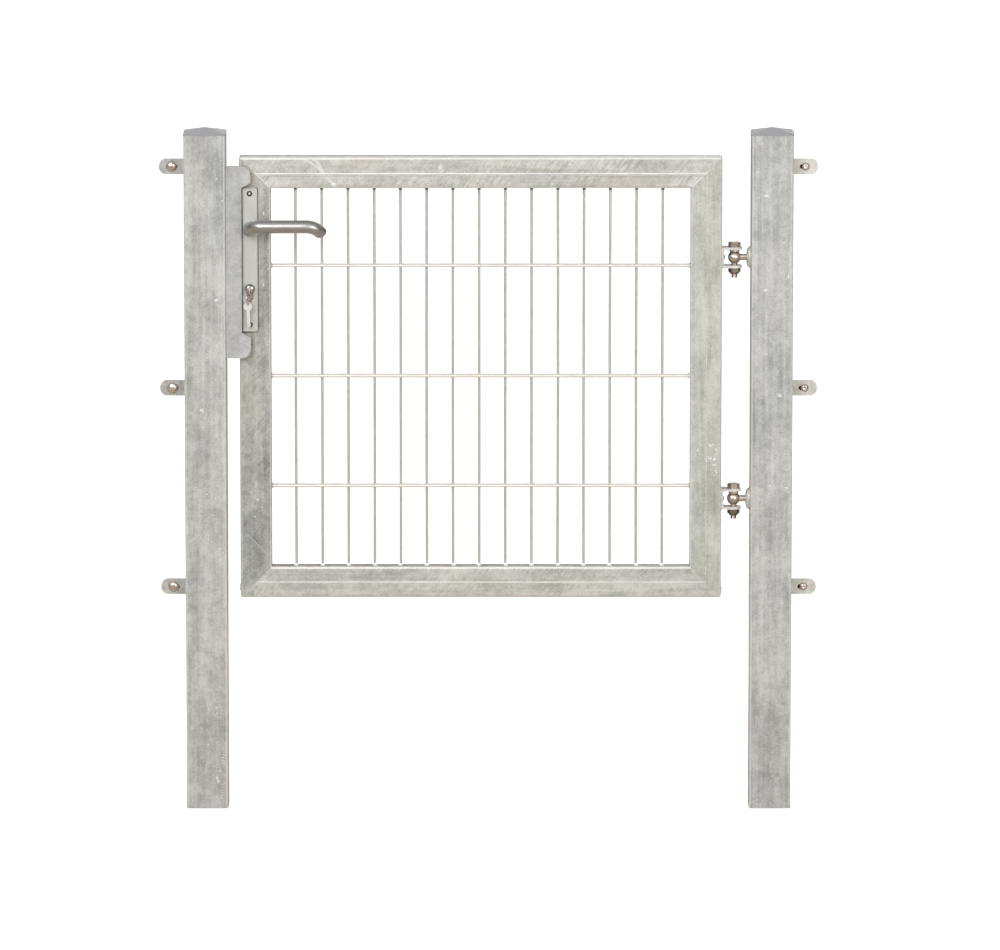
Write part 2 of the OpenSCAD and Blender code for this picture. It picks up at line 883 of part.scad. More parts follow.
// Hexagon with a domed collar below
module hinge_nut(z) {
    translate([axis_x, 0, z - tab_top - nut_hex_h])
        difference() {
            union() {
                cylinder(h = nut_hex_h, d = hex_d, $fn = 6);
                translate([0, 0, -nut_collar_h])
                    cylinder(h = nut_collar_h + eps, r1 = nut_collar_d / 2,
                        r2 = hex_af / 2 - nut_collar_step);
            }
            translate([0, 0, -nut_collar_h - cut])
                cylinder(h = nut_hex_h + nut_collar_h + 2 * cut, r = shank_r + nut_fit);
        }
}

module upper_hinge_bracket() {
    color(zinc)
        hinge_bracket(upper_hinge_z);
}

module lower_hinge_bracket() {
    color(zinc)
        hinge_bracket(lower_hinge_z);
}

module upper_hinge_bolt() {
    color(steel)
        hinge_bolt(upper_hinge_z);
}

module lower_hinge_bolt() {
    color(steel)
        hinge_bolt(lower_hinge_z);
}

module upper_hinge_nut() {
    color(steel)
        hinge_nut(upper_hinge_z);
}

module lower_hinge_nut() {
    color(steel)
        hinge_nut(lower_hinge_z);
}

// ---------- lock ----------

// Profile of the cylinder in x and z, grown by g on every side
module cylinder_profile(g) {
    foot_r = cylinder_web / 2 + g;
    foot_z = cylinder_web / 2 + cylinder_d / 2 - cylinder_h;
    circle(d = cylinder_d + 2 * g);
    translate([-foot_r, foot_z])
        square([2 * foot_r, -foot_z]);
    translate([0, foot_z])
        circle(r = foot_r);
}

// Holes through the leaf for the spindle and the cylinder
module lock_holes() {
    reach = plate_face + cut;
    translate([spindle_x, 0, spindle_z])
        bar_y(spindle_hole_d / 2, -reach, reach);
    translate([spindle_x, 0, cylinder_z])
        upright_plate(-reach, 2 * reach)
            cylinder_profile(cylinder_fit);
}

// Countersunk seats for an escutcheon's screws
module screw_seats() {
    seat_r = plate_screw_d / 2;
    for (z = [plate_z + lower_screw_inset, plate_z + plate_h - upper_screw_inset])
        translate([spindle_x, plate_screw_depth - plate_face, z])
            rotate([90, 0, 0]) {
                cylinder(h = plate_screw_depth, r1 = seat_r / 2, r2 = seat_r);
                translate([0, 0, plate_screw_depth - eps])
                    cylinder(h = cut, r = seat_r);
            }
}

// Long plate against the front of the leaf, chamfered round its face
module escutcheon() {
    c = plate_chamfer;
    difference() {
        translate([spindle_x, 0, plate_mid])
            intersection() {
                upright_plate(-plate_face, plate_t)
                    rounded_rect(plate_w, plate_h, plate_r);
                linear_extrude(height = plate_h + 2 * cut, center = true)
                    polygon([[-plate_w / 2, leaf_front], [-plate_w / 2, c - plate_face],
                        [c - plate_w / 2, -plate_face], [plate_w / 2 - c, -plate_face],
                        [plate_w / 2, c - plate_face], [plate_w / 2, leaf_front]]);
                translate([-plate_w, 0, 0])
                    rotate([90, 0, 90])
                        linear_extrude(height = 2 * plate_w)
                            polygon([[leaf_front, -plate_h / 2], [c - plate_face, -plate_h / 2],
                                [-plate_face, c - plate_h / 2], [-plate_face, plate_h / 2 - c],
                                [c - plate_face, plate_h / 2], [leaf_front, plate_h / 2]]);
            }
        lock_holes();
        screw_seats();
    }
}

module front_escutcheon() {
    color(satin)
        escutcheon();
}

module back_escutcheon() {
    color(satin)
        mirror([0, 1, 0])
            escutcheon();
}

// Opening for the latch, through the forend and into the case
module latch_channel() {
    translate([leaf_left - forend_t - cut, -latch_t / 2 - latch_fit, latch_z - latch_h / 2 - latch_fit])
        cube([case_depth + forend_t + cut - case_wall, latch_t + 2 * latch_fit,
            latch_h + 2 * latch_fit]);
}

module lock_forend() {
    color(steel)
        difference() {
            translate([leaf_left - forend_t, 0, plate_mid])
                rotate([90, 0, 90])
                    linear_extrude(height = forend_t)
                        rounded_rect(forend_w, forend_h, forend_r);
            latch_channel();
        }
}

// Case inside the stile, behind the forend
module lock_case() {
    color(satin)
        difference() {
            translate([leaf_left, -case_t / 2, plate_mid - case_h / 2])
                cube([case_depth, case_t, case_h]);
            latch_channel();
            translate([spindle_x, 0, spindle_z])
                bar_y(follower_d / 2, -case_t, case_t);
            translate([spindle_x, 0, cylinder_z])
                upright_plate(-case_t, 2 * case_t)
                    cylinder_profile(cylinder_fit);
        }
}

// Profile cylinder through the leaf, with a keyway at the front
module lock_cylinder() {
    color([0.8, 0.78, 0.74])
        translate([spindle_x, 0, cylinder_z])
            difference() {
                upright_plate(-key_y, 2 * key_y)
                    cylinder_profile(0);
                translate([-key_t / 2 - key_fit, -key_y - cut, -blade_w / 2 - key_fit])
                    cube([key_t + 2 * key_fit, blade_l + 2 * cut, blade_w + 2 * key_fit]);
            }
}

// ---------- keys ----------

// Round bow with a hole and a blade, drawn in x and z: the blade runs to +x from the bow
module key_outline() {
    difference() {
        union() {
            circle(d = bow_d);
            translate([0, -blade_w / 2])
                square([bow_d / 2 + key_neck + blade_l, blade_w]);
        }
        translate([0, -bow_hole_off])
            circle(d = bow_hole_d);
    }
}

module key() {
    color([0.75, 0.72, 0.66])
        translate([spindle_x, -bow_y, cylinder_z])
            rotate([0, 0, 90])
                upright_plate(-key_t / 2, key_t)
                    key_outline();
}

module key_ring() {
    color(steel)
        translate([spindle_x, -bow_y, ring_z])
            rotate([90, 0, 45])
                rotate_extrude()
                    translate([ring_d / 2, 0])
                        circle(d = ring_wire, $fn = 24);
}

// The spare key hangs from the ring with its blade down
module spare_key() {
    color([0.75, 0.72, 0.66])
        translate([spindle_x, -bow_y, spare_z])
            upright_plate(-key_t / 2, key_t)
                difference() {
                    union() {
                        circle(d = spare_bow_d);
                        translate([-blade_w / 2, -bow_d / 2 - blade_l])
                            square([blade_w, bow_d / 2 + blade_l]);
                    }
                    translate([0, bow_hole_off])
                        circle(d = bow_hole_d);
                }
}

// ---------- lever and knob ----------

// Bent round bar swept along the lever's centre line
module lever() {
    last = len(lever_line) - 1;
    translate([spindle_x, -plate_face - hub_gap, spindle_z])
        polyhedron(
            points = [for (i = [0:last], k = [0:lever_sides - 1]) lever_point(i, last, 360 * k / lever_sides)],
            faces = concat(
                [[for (k = [0:lever_sides - 1]) k]],
                [for (i = [0:last - 1], k = [0:lever_sides - 1]) lever_face(i, k)],
                [[for (k = [0:lever_sides - 1]) (last + 1) * lever_sides - 1 - k]]),
            convexity = 4);
}

// Square socket for the spindle
module spindle_socket() {
    w = spindle_w + 2 * spindle_fit;
    translate([spindle_x, 0, spindle_z])
        cube([w, 2 * socket_y, w], center = true);
}

module front_lever() {
    color(satin)
        difference() {
            lever();
            spindle_socket();
        }
}

// Turned knob, fixed to the back escutcheon: foot, neck and a flattened round head
module back_knob() {
    neck = knob_neck_d / 2;
    foot = knob_foot_d / 2;
    start = asin(neck / (knob_d / 2));
    color(satin)
        translate([spindle_x, plate_face, spindle_z])
            rotate([-90, 0, 0])
                rotate_extrude()
                    polygon(concat(
                        [[0, 0], [foot, 0], [foot, knob_foot_h - hub_edge], [foot - hub_edge, knob_foot_h]],
                        [for (a = [90:-15:0])
                            [neck + knob_fillet * (1 - cos(a)), knob_foot_h + knob_fillet * (1 - sin(a))]],
                        [for (a = [start:(90 - start) / 5:90])
                            [knob_d / 2 * sin(a), knob_stand - knob_t / 2 * cos(a)]],
                        [for (a = [75:-15:0])
                            [knob_d / 2 * sin(a), knob_stand + knob_t / 2 * cos(a)]]));
}

// Square spindle from the lever to the far side of the lock's follower
module spindle() {
    color(steel)
        translate([spindle_x - spindle_w / 2, spindle_gap - socket_y, spindle_z - spindle_w / 2])
            cube([spindle_w, socket_y - spindle_gap + case_t / 2, spindle_w]);
}

// Bevelled latch bolt, its slope towards the front
module latch_bolt() {
    tip = leaf_left - latch_out;
    half = latch_t / 2;
    color(steel)
        translate([0, 0, latch_z - latch_h / 2])
            linear_extrude(height = latch_h)
                polygon([[tip + latch_l, -half], [tip + latch_l, half], [tip, half], [tip, half - latch_nose],
                    [tip + latch_bevel, -half]]);
}

lock_post();
hinge_post();
lock_post_cap();
hinge_post_cap();
lock_post_lugs();
hinge_post_lugs();
round_head_screws();
button_head_screws();
fence_screw_nuts();
lock_keep();
stop_buffers();
upper_hinge_boss();
lower_hinge_boss();
upper_eye_bolt();
lower_eye_bolt();
hinge_washers();
top_rail();
bottom_rail();
lock_stile();
hinge_stile();
mesh_mat();
upper_hinge_bracket();
lower_hinge_bracket();
upper_hinge_bolt();
lower_hinge_bolt();
upper_hinge_nut();
lower_hinge_nut();
lock_forend();
lock_case();
front_escutcheon();
back_escutcheon();
lock_cylinder();
key();
key_ring();
spare_key();
front_lever();
back_knob();
spindle();
latch_bolt();
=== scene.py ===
# Mesh garden gate: looks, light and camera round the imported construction.
import json
from math import atan2, cos, degrees, pi, radians, sin
from random import Random
import bmesh
import bpy
from mathutils import Matrix, Vector


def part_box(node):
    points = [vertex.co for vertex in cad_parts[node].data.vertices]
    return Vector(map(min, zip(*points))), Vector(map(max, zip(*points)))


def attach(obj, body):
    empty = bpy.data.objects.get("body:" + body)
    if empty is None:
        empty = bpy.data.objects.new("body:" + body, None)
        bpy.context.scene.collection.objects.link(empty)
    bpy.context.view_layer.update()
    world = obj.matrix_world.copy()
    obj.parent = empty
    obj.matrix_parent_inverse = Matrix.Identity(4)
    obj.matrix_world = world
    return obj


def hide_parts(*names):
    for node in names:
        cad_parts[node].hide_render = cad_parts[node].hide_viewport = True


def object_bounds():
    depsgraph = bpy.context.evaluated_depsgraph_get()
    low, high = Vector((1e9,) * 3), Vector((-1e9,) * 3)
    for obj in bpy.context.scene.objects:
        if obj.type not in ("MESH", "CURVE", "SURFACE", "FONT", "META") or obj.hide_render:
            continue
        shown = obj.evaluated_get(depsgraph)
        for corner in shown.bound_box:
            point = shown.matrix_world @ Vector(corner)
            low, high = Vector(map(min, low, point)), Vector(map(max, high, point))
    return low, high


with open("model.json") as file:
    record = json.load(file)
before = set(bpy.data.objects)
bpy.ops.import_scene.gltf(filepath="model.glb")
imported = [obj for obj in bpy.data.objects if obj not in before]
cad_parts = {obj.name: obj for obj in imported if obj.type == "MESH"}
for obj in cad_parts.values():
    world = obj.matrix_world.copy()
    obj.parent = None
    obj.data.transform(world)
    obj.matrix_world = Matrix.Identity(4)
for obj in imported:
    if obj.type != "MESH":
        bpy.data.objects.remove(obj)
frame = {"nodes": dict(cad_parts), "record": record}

start_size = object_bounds()
nodes = frame["nodes"]
MM = 0.001
FRONT = Matrix.Rotation(pi / 2, 4, "X")    # turns +Z to -Y
BACK = Matrix.Rotation(-pi / 2, 4, "X")    # turns +Z to +Y
RIGHT = Matrix.Rotation(pi / 2, 4, "Y")    # turns +Z to +X
LEFT = Matrix.Rotation(-pi / 2, 4, "Y")    # turns +Z to -X
DOWN = Matrix.Rotation(pi, 4, "X")
FORWARD = Vector((0, -1, 0))
at = Matrix.Translation


def up(z):
    return at((0, 0, z))


def about(turn, axis="Z"):
    """A turn in degrees about an axis."""
    return Matrix.Rotation(radians(turn), 4, axis)


def new_object(name, data):
    """A new object in the scene."""
    thing = bpy.data.objects.new(name, data)
    bpy.context.collection.objects.link(thing)
    return thing


# ---- sizes from the construction ----

def middle(name):
    lo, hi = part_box(name)
    return (lo + hi) / 2


leaf_lo = Vector((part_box("lock_stile")[0].x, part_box("lock_stile")[0].y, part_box("bottom_rail")[0].z))
leaf_hi = Vector((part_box("hinge_stile")[1].x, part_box("lock_stile")[1].y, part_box("top_rail")[1].z))
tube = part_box("top_rail")[1].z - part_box("top_rail")[0].z
lock_post_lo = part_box("lock_post")[0]
hinge_post_lo, hinge_post_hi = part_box("hinge_post")
spindle = middle("spindle")
plate_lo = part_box("front_escutcheon")[0]
hinge_axis = middle("upper_hinge_bolt").x
hinge_heights = {"upper": middle("upper_eye_bolt").z, "lower": middle("lower_eye_bolt").z}
boss_radius = (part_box("upper_hinge_boss")[1].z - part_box("upper_hinge_boss")[0].z) / 2
fence_screw_spots = {mount["name"]: Vector(mount["pos_m"]) for mount in frame["record"]["mounts"]
    if mount["name"].endswith("fence_screw")}


# ---- camera ----

VIEW_TILT = radians(9.0)
VIEW_DISTANCE = 17.0
VIEW_HEIGHT = 0.642
LENS = 18.8    # in mm for each metre of distance
look_at = Vector(((start_size[0].x + start_size[1].x) / 2, 0.0, VIEW_HEIGHT))
back_off = Vector((0.0, -cos(VIEW_TILT), sin(VIEW_TILT)))
camera = new_object("camera", bpy.data.cameras.new("camera"))
camera.location = look_at + back_off * VIEW_DISTANCE
camera.rotation_mode = "QUATERNION"
camera.rotation_quaternion = (-back_off).to_track_quat("-Z", "Y")
scene = bpy.context.scene
camera.data.sensor_width = 36.0
camera.data.lens = LENS * VIEW_DISTANCE
camera.data.shift_x = 0.0114
camera.data.clip_start = 0.1
camera.data.clip_end = 200.0
scene.camera = camera
scene.view_settings.view_transform = "Standard"


# ---- node trees (nodes go into the tree t) ----

def add(t, kind, inputs=None, **settings):
    """A node of that kind, with its inputs set to values or linked to sockets."""
    made = t.nodes.new("ShaderNode" + kind)
    for name, value in settings.items():
        setattr(made, name, value)
    for name, value in (inputs or {}).items():
        if isinstance(value, bpy.types.NodeSocket):
            t.links.new(value, made.inputs[name])
        else:
            made.inputs[name].default_value = value
    return made


def wire(t, node, sockets):
    """Links each socket to the node's input of that name."""
    for name, socket in sockets.items():
        t.links.new(socket, node.inputs[name])


def calc(t, operation, a, b=0.0, c=0.0, clamp=False):
    return add(t, "Math", {0: a, 1: b, 2: c}, operation=operation, use_clamp=clamp).outputs[0]


def times(t, a, b, clamp=False):
    return calc(t, "MULTIPLY", a, b, clamp=clamp)


def minus(t, a, b, clamp=False):
    return calc(t, "SUBTRACT", a, b, clamp=clamp)


def scaled(t, a, factor, extra, clamp=False):
    """a * factor + extra"""
    return calc(t, "MULTIPLY_ADD", a, factor, extra, clamp)


def vector(t, operation, a, b):
    return add(t, "VectorMath", {0: a, 1: b}, operation=operation).outputs[0]


def spread(t, value, low, high, to_low=0.0, to_high=1.0):
    """The value moved from low..high to to_low..to_high, with soft ends."""
    return add(t, "MapRange", {"Value": value, "From Min": low, "From Max": high, "To Min": to_low,
        "To Max": to_high}, interpolation_type="SMOOTHSTEP").outputs["Result"]


def noise(t, place, scale, detail, roughness=0.55, distortion=0.0):
    return add(t, "TexNoise", {"Vector": place, "Scale": scale, "Detail": detail, "Roughness": roughness,
        "Distortion": distortion}).outputs["Fac"]


def mix(t, factor, a, b):
    return add(t, "Mix", {0: factor, 6: a, 7: b}, data_type="RGBA").outputs[2]


def cells(t, place, scale):
    """Voronoi cells: (distance from the cell's point, three random values of the cell)."""
    made = add(t, "TexVoronoi", {"Vector": place, "Scale": scale}, feature="F1")
    return made.outputs["Distance"], add(t, "SeparateColor", {"Color": made.outputs["Color"]}).outputs


def group(name, inputs, outputs):
    """An empty node group with those sockets: (tree, the sockets it is given, its output node)."""
    tree = bpy.data.node_groups.new(name, "ShaderNodeTree")
    for label, value in inputs.items():
        kind = "Float" if isinstance(value, float) else {3: "Vector", 4: "Color"}[len(value)]
        made = tree.interface.new_socket(label, in_out="INPUT", socket_type="NodeSocket" + kind)
        made.default_value = value
    for label, kind in outputs.items():
        tree.interface.new_socket(label, in_out="OUTPUT", socket_type="NodeSocket" + kind)
    return tree, tree.nodes.new("NodeGroupInput").outputs, tree.nodes.new("NodeGroupOutput")


MID_TONE = 0.6      # between the group's Light (1) and Dark (0)


def zinc_group():
    """Hot-dip zinc: clouds, mottling, spangle, white drops, dark pits and flow lines."""
    t, given, out = group("zinc coat", dict(Light=(0.68, 0.69, 0.65, 1), Dark=(0.38, 0.39, 0.37, 1),
        Flow=(1, 1, 1), Shift=(0, 0, 0), Drops=1.0, Contrast=1.0, Rub=0.8, Dust=0.8, Stain=0.4, Comb=0.0,
        Ledge=-1.0), dict(Color="Color", Roughness="Float", Metal="Float", Normal="Vector"))
    place = add(t, "TexCoord")
    spot = vector(t, "ADD", place.outputs["Object"], given["Shift"])
    run = vector(t, "MULTIPLY", spot, given["Flow"])
    drawn = vector(t, "MULTIPLY", run, given["Flow"])
    drag = noise(t, drawn, 150.0, 3.0, 0.6, 0.3)
    clouds = noise(t, spot, 9.0, 3.0, 0.5, 0.8)
    veil = noise(t, run, 48.0, 4.0, 0.55, 0.6)
    mottle = noise(t, spot, 85.0, 5.0, 0.6, 0.5)
    grain = noise(t, spot, 430.0, 4.0, 0.75)
    spangle = cells(t, spot, 120.0)[1][0]
    tone = MID_TONE
    for layer, weight in ((clouds, 1.1), (veil, 1.0), (drag, 0.75), (mottle, 0.8), (grain, 1.8),
            (spangle, 0.08)):
        tone = scaled(t, minus(t, layer, 0.5), weight, tone)
    # slanting streaks, where the zinc ran off as the piece was lifted by a corner
    slant = add(t, "VectorRotate", {"Vector": spot, "Angle": radians(-38)},
        rotation_type="Y_AXIS").outputs[0]
    slant = vector(t, "MULTIPLY", slant, (1.0, 1.0, 0.09))
    comb = minus(t, noise(t, slant, 330.0, 2.0, 0.5, 0.2), 0.5)
    where = spread(t, noise(t, spot, 14.0, 2.0, 0.5), 0.42, 0.6)
    comb = times(t, times(t, comb, where), given["Comb"])
    tone = calc(t, "ADD", tone, comb)
    tone = minus(t, tone, MID_TONE)
    tone = scaled(t, tone, given["Contrast"], MID_TONE, clamp=True)
    colour = mix(t, tone, given["Dark"], given["Light"])
    stain = spread(t, noise(t, run, 22.0, 4.0, 0.6, 0.4), 0.52, 0.72)
    colour = mix(t, times(t, stain, given["Stain"]), colour, (0.45, 0.38, 0.33, 1))
    # bright flow lines from the dipping
    wave = noise(t, vector(t, "MULTIPLY", spot, (1.0, 1.0, 0.22)), 70.0, 2.0, 0.4, 1.6)
    line = spread(t, calc(t, "ABSOLUTE", minus(t, wave, 0.5)), 0.0, 0.012, 1.0, 0.0)
    line = times(t, line, spread(t, clouds, 0.52, 0.66))
    colour = mix(t, times(t, line, 0.4), colour, (0.84, 0.84, 0.81, 1))
    # white drops, few and small
    bend = add(t, "TexNoise", {"Vector": spot, "Scale": 160.0, "Detail": 2.0})
    crooked = vector(t, "MULTIPLY", bend.outputs["Color"], (0.004, 0.004, 0.004))
    crooked = vector(t, "ADD", spot, crooked)
    away, chance = cells(t, crooked, 22.0)
    drop = minus(t, spread(t, chance[0], 0.4, 1.0, 0.0, 0.1), away)
    drop = times(t, spread(t, drop, 0.0, 0.03), given["Drops"], clamp=True)
    colour = mix(t, times(t, drop, 0.75), colour, (0.88, 0.88, 0.86, 1))
    # dark pits
    away, chance = cells(t, spot, 75.0)
    pit = spread(t, minus(t, spread(t, chance[1], 0.6, 1.0, 0.0, 0.11), away), 0.0, 0.05)
    colour = mix(t, times(t, pit, 0.45), colour, (0.2, 0.21, 0.2, 1))
    # painted highlight on round edges, strongest along the top; level and side faces get darker tints, part
    # dirt and part painted shade
    facing = add(t, "SeparateXYZ", {"Vector": place.outputs["Normal"]}).outputs
    front = calc(t, "ABSOLUTE", facing[1])
    aside = calc(t, "SQRT", minus(t, 1.0, calc(t, "POWER", front, 2.0), clamp=True))
    edge = spread(t, times(t, times(t, front, aside), 2.0), 0.4, 0.95)
    upper = spread(t, facing[2], 0.2, 0.7, 0.75, 1.0)
    rub = times(t, times(t, edge, upper), given["Rub"])
    colour = mix(t, rub, colour, (1.0, 1.0, 0.98, 1))
    level = spread(t, facing[2], 0.9, 0.99)
    depth = add(t, "SeparateXYZ", {"Vector": place.outputs["Object"]}).outputs[1]
    near = spread(t, minus(t, given["Ledge"], depth), -0.003, 0.003)
    # level faces are darkened: part dirt, part a painted dark reflection
    dust = times(t, level, spread(t, clouds, 0.3, 0.7, 0.55, 1.0))
    dust = times(t, dust, minus(t, 1.0, near))
    # the front strip of a level face, up to Ledge, gets a painted highlight instead of the darkening
    worn = times(t, times(t, level, near), 0.85)
    colour = mix(t, worn, colour, (0.97, 0.94, 0.91, 1))
    colour = mix(t, times(t, dust, given["Dust"]), colour, (0.19, 0.14, 0.115, 1))
    # faces turned sideways get a painted brown shade
    flank = spread(t, calc(t, "ABSOLUTE", facing[0]), 0.93, 1.0, 0.0, 0.45)
    colour = mix(t, times(t, flank, given["Dust"]), colour, (0.42, 0.38, 0.30, 1))
    rough = scaled(t, mottle, 0.3, 0.34)
    rough = scaled(t, drop, 0.2, rough)
    metal = spread(t, mottle, 0.3, 0.7, 0.55, 0.3)
    height = scaled(t, mottle, 0.6, times(t, grain, 0.25))
    height = scaled(t, drop, 0.9, height)
    height = scaled(t, line, 0.25, height)
    height = scaled(t, pit, -0.5, height)
    bump = add(t, "Bump", {"Strength": 0.35, "Distance": 0.0006, "Height": height})
    wire(t, out, {"Color": colour, "Roughness": rough, "Metal": metal, "Normal": bump.outputs[0]})
    return t


def brushed_group():
    """Fine lines of ground or drawn metal, with faint smudges, a painted highlight on corners and painted
    shade on side faces.
    """
    t, given, out = group("brushed metal",
        dict(Light=(0.7, 0.7, 0.68, 1), Dark=(0.5, 0.5, 0.48, 1), Lines=(1, 1, 0.03), Rough=0.35, Rub=0.0,
            Grime=0.0, Soot=0.0),
        dict(Color="Color", Roughness="Float", Normal="Vector"))
    place = add(t, "TexCoord")
    drawn = vector(t, "MULTIPLY", place.outputs["Object"], given["Lines"])
    lines = noise(t, drawn, 1500.0, 3.0, 0.7)
    smudge = noise(t, place.outputs["Object"], 60.0, 5.0, 0.6, 0.5)
    tone = scaled(t, minus(t, lines, 0.5), 0.8, 0.5)
    tone = scaled(t, minus(t, smudge, 0.5), 1.2, tone, clamp=True)
    colour = mix(t, tone, given["Dark"], given["Light"])
    facing = add(t, "SeparateXYZ", {"Vector": place.outputs["Normal"]}).outputs
    # painted highlight on corners that slant to the side
    slant = calc(t, "ABSOLUTE", times(t, facing[0], facing[1]))
    rub = times(t, spread(t, slant, 0.2, 0.45), given["Rub"])
    colour = mix(t, rub, colour, (1.0, 1.0, 0.98, 1))
    # painted shade on faces turned away from the front
    edge_on = spread(t, calc(t, "ABSOLUTE", facing[1]), 0.7, 0.96, 1.0, 0.0)
    colour = mix(t, times(t, edge_on, given["Grime"]), colour, (0.05, 0.04, 0.03, 1))
    # painted shade on the sides of round parts
    round_side = spread(t, calc(t, "ABSOLUTE", facing[1]), 0.25, 0.72, 1.0, 0.0)
    colour = mix(t, times(t, round_side, given["Soot"]), colour, (0.06, 0.04, 0.03, 1))
    rough = scaled(t, smudge, 0.16, given["Rough"])
    bump = add(t, "Bump", {"Strength": 0.15, "Distance": 0.0002, "Height": lines})
    wire(t, out, {"Color": colour, "Roughness": rough, "Normal": bump.outputs[0]})
    return t


ZINC = zinc_group()
BRUSHED = brushed_group()


def new_material(name):
    made = bpy.data.materials.new(name)
    made.use_nodes = True
    t = made.node_tree
    t.nodes.clear()
    shader = add(t, "BsdfPrincipled")
    add(t, "OutputMaterial", {"Surface": shader.outputs[0]})
    return made, t, shader


def coated(name, coat, light, dark, metallic, **values):
    """A material whose look comes from one of the two groups."""
    made, t, shader = new_material(name)
    look = add(t, "Group", {"Light": light + (1,), "Dark": dark + (1,), **values}, node_tree=coat)
    if metallic is not None:
        shader.inputs["Metallic"].default_value = metallic
    target = {"Color": "Base Color", "Metal": "Metallic"}
    wire(t, shader, {target.get(source.name, source.name): source for source in look.outputs})
    return made


# one value sets the painted highlight on round edges, another the dirt plus painted shade on level and side
# faces; ledge sets the front strip of level faces that gets a painted highlight
def zinc(name, light, dark, flow, shift, drops, contrast=1.0, rub=0.8, dust=0.8, stain=0.1, comb=0.0,
        ledge=-1.0):
    return coated(name, ZINC, light, dark, None, Flow=flow, Shift=shift, Drops=drops, Contrast=contrast,
        Rub=rub, Dust=dust, Stain=stain, Comb=comb, Ledge=ledge)


def brushed(name, light, dark, lines, rough, metallic=1.0, rub=0.0, grime=0.0, soot=0.0):
    return coated(name, BRUSHED, light, dark, metallic, Lines=lines, Rough=rough, Rub=rub, Grime=grime,
        Soot=soot)


def plastic(name, colour, worn, rough, grain_scale, bleached=None):
    """Moulded plastic or rubber with a fine grain and faint scuffs; faces turned to the sky may be painted
    lighter, a painted highlight that evens out their shading.
    """
    made, t, shader = new_material(name)
    place = add(t, "TexCoord").outputs["Object"]
    grain = noise(t, place, grain_scale, 3.0, 0.6)
    scuff = noise(t, place, 45.0, 6.0, 0.65, 0.4)
    tone = mix(t, spread(t, scuff, 0.42, 0.75, 0.0, 0.6), colour + (1,), worn + (1,))
    if bleached:
        # faces turned up get the lighter colour: painted light
        facing = add(t, "SeparateXYZ", {"Vector": add(t, "TexCoord").outputs["Normal"]}).outputs
        tone = mix(t, spread(t, facing[2], 0.03, 0.12), tone, bleached + (1,))
    rough = scaled(t, scuff, 0.2, rough)
    bump = add(t, "Bump", {"Strength": 0.2, "Distance": 0.0003, "Height": grain})
    wire(t, shader, {"Base Color": tone, "Roughness": rough, "Normal": bump.outputs[0]})
    return made


def dress(finish, *names):
    """Puts the finish on those pieces of the construction."""
    for name in names:
        mesh = nodes[name].data
        if not mesh.materials:
            mesh.materials.append(finish)
        for slot in nodes[name].material_slots:
            slot.link = "OBJECT"
            slot.material = finish


dress(zinc("post zinc", (0.665, 0.675, 0.66), (0.345, 0.355, 0.345), (1, 1, 0.14), (0.3, 0, 0.1), 1.0,
    1.2), "lock_post", "hinge_post")
dress(zinc("frame zinc", (0.69, 0.70, 0.64), (0.36, 0.37, 0.33), (1, 1, 0.16), (1.7, 0.2, 0.6), 0.8, 1.0),
    "hinge_stile", "upper_hinge_boss", "lower_hinge_boss")
dull_zinc = zinc("dull zinc", (0.57, 0.57, 0.52), (0.25, 0.26, 0.25), (1, 1, 0.2), (0.7, 0.4, 0.1), 0.8,
    1.15, 0.8, 0.8, 0.35, comb=0.95)
dress(zinc("rail zinc", (0.72, 0.72, 0.67), (0.38, 0.39, 0.35), (0.14, 1, 1), (0.4, 0.7, 0.3), 0.8, 1.1,
    1.0, 1.0, 0.6, comb=1.7, ledge=0.006), "top_rail")
dress(zinc("sill zinc", (0.71, 0.71, 0.66), (0.38, 0.39, 0.35), (0.14, 1, 1), (0.4, 0.7, 0.3), 0.8, 1.1,
    1.0, 0.5, 0.3, comb=0.95, ledge=-0.014), "bottom_rail")
dress(zinc("tab zinc", (0.84, 0.84, 0.79), (0.52, 0.52, 0.48), (1, 1, 1), (0.2, 0.6, 0.8), 0.5, 0.9),
    "upper_hinge_bracket", "lower_hinge_bracket")
dress(zinc("lug zinc", (0.63, 0.63, 0.61), (0.34, 0.34, 0.34), (1, 1, 1), (0.9, 0.1, 0.2), 0.3),
    "lock_post_lugs")
dress(zinc("pale zinc", (0.78, 0.78, 0.71), (0.50, 0.50, 0.45), (1, 1, 1), (0.9, 0.1, 0.2), 0.3),
    "hinge_post_lugs")
white_zinc = brushed("white zinc", (1.0, 1.0, 0.98), (0.92, 0.92, 0.90), (1, 1, 1), 0.4, 0.0)
bright_zinc = zinc("bright zinc", (0.88, 0.88, 0.85), (0.64, 0.65, 0.62), (1, 1, 1), (0.1, 0.4, 0.5), 0.0,
    1.0, 0.0, 0.0)
dress(zinc("stop plate zinc", (0.61, 0.62, 0.61), (0.36, 0.37, 0.37), (1, 1, 1), (0.5, 0.3, 0.9), 0.2,
    0.9), "lock_keep")
wire_zinc = brushed("wire zinc", (0.70, 0.71, 0.66), (0.52, 0.53, 0.48), (1, 1, 1), 0.28, 0.5)
# the cross wires are a lighter copy of the wire zinc: a painted highlight
cross_zinc = brushed("cross wire zinc", (1.0, 0.99, 0.94), (0.80, 0.78, 0.71), (1, 1, 1), 0.3, 0.4)
# near-black brown for the top rail's painted shadow on the wire ends
burnt_zinc = brushed("burnt weld", (0.17, 0.12, 0.09), (0.06, 0.04, 0.03), (1, 1, 1), 0.5, 0.3)
# the caps' upward faces get a lighter colour, painted light
dress(plastic("grey plastic", (0.355, 0.355, 0.37), (0.37, 0.37, 0.38), 0.6, 1200.0, (0.42, 0.42, 0.435)),
    "lock_post_cap", "hinge_post_cap")
dress(brushed("stainless steel", (0.97, 0.88, 0.80), (0.62, 0.52, 0.45), (1, 1, 0.2), 0.16),
    "lock_forend", "spindle", "latch_bolt", "key_ring")
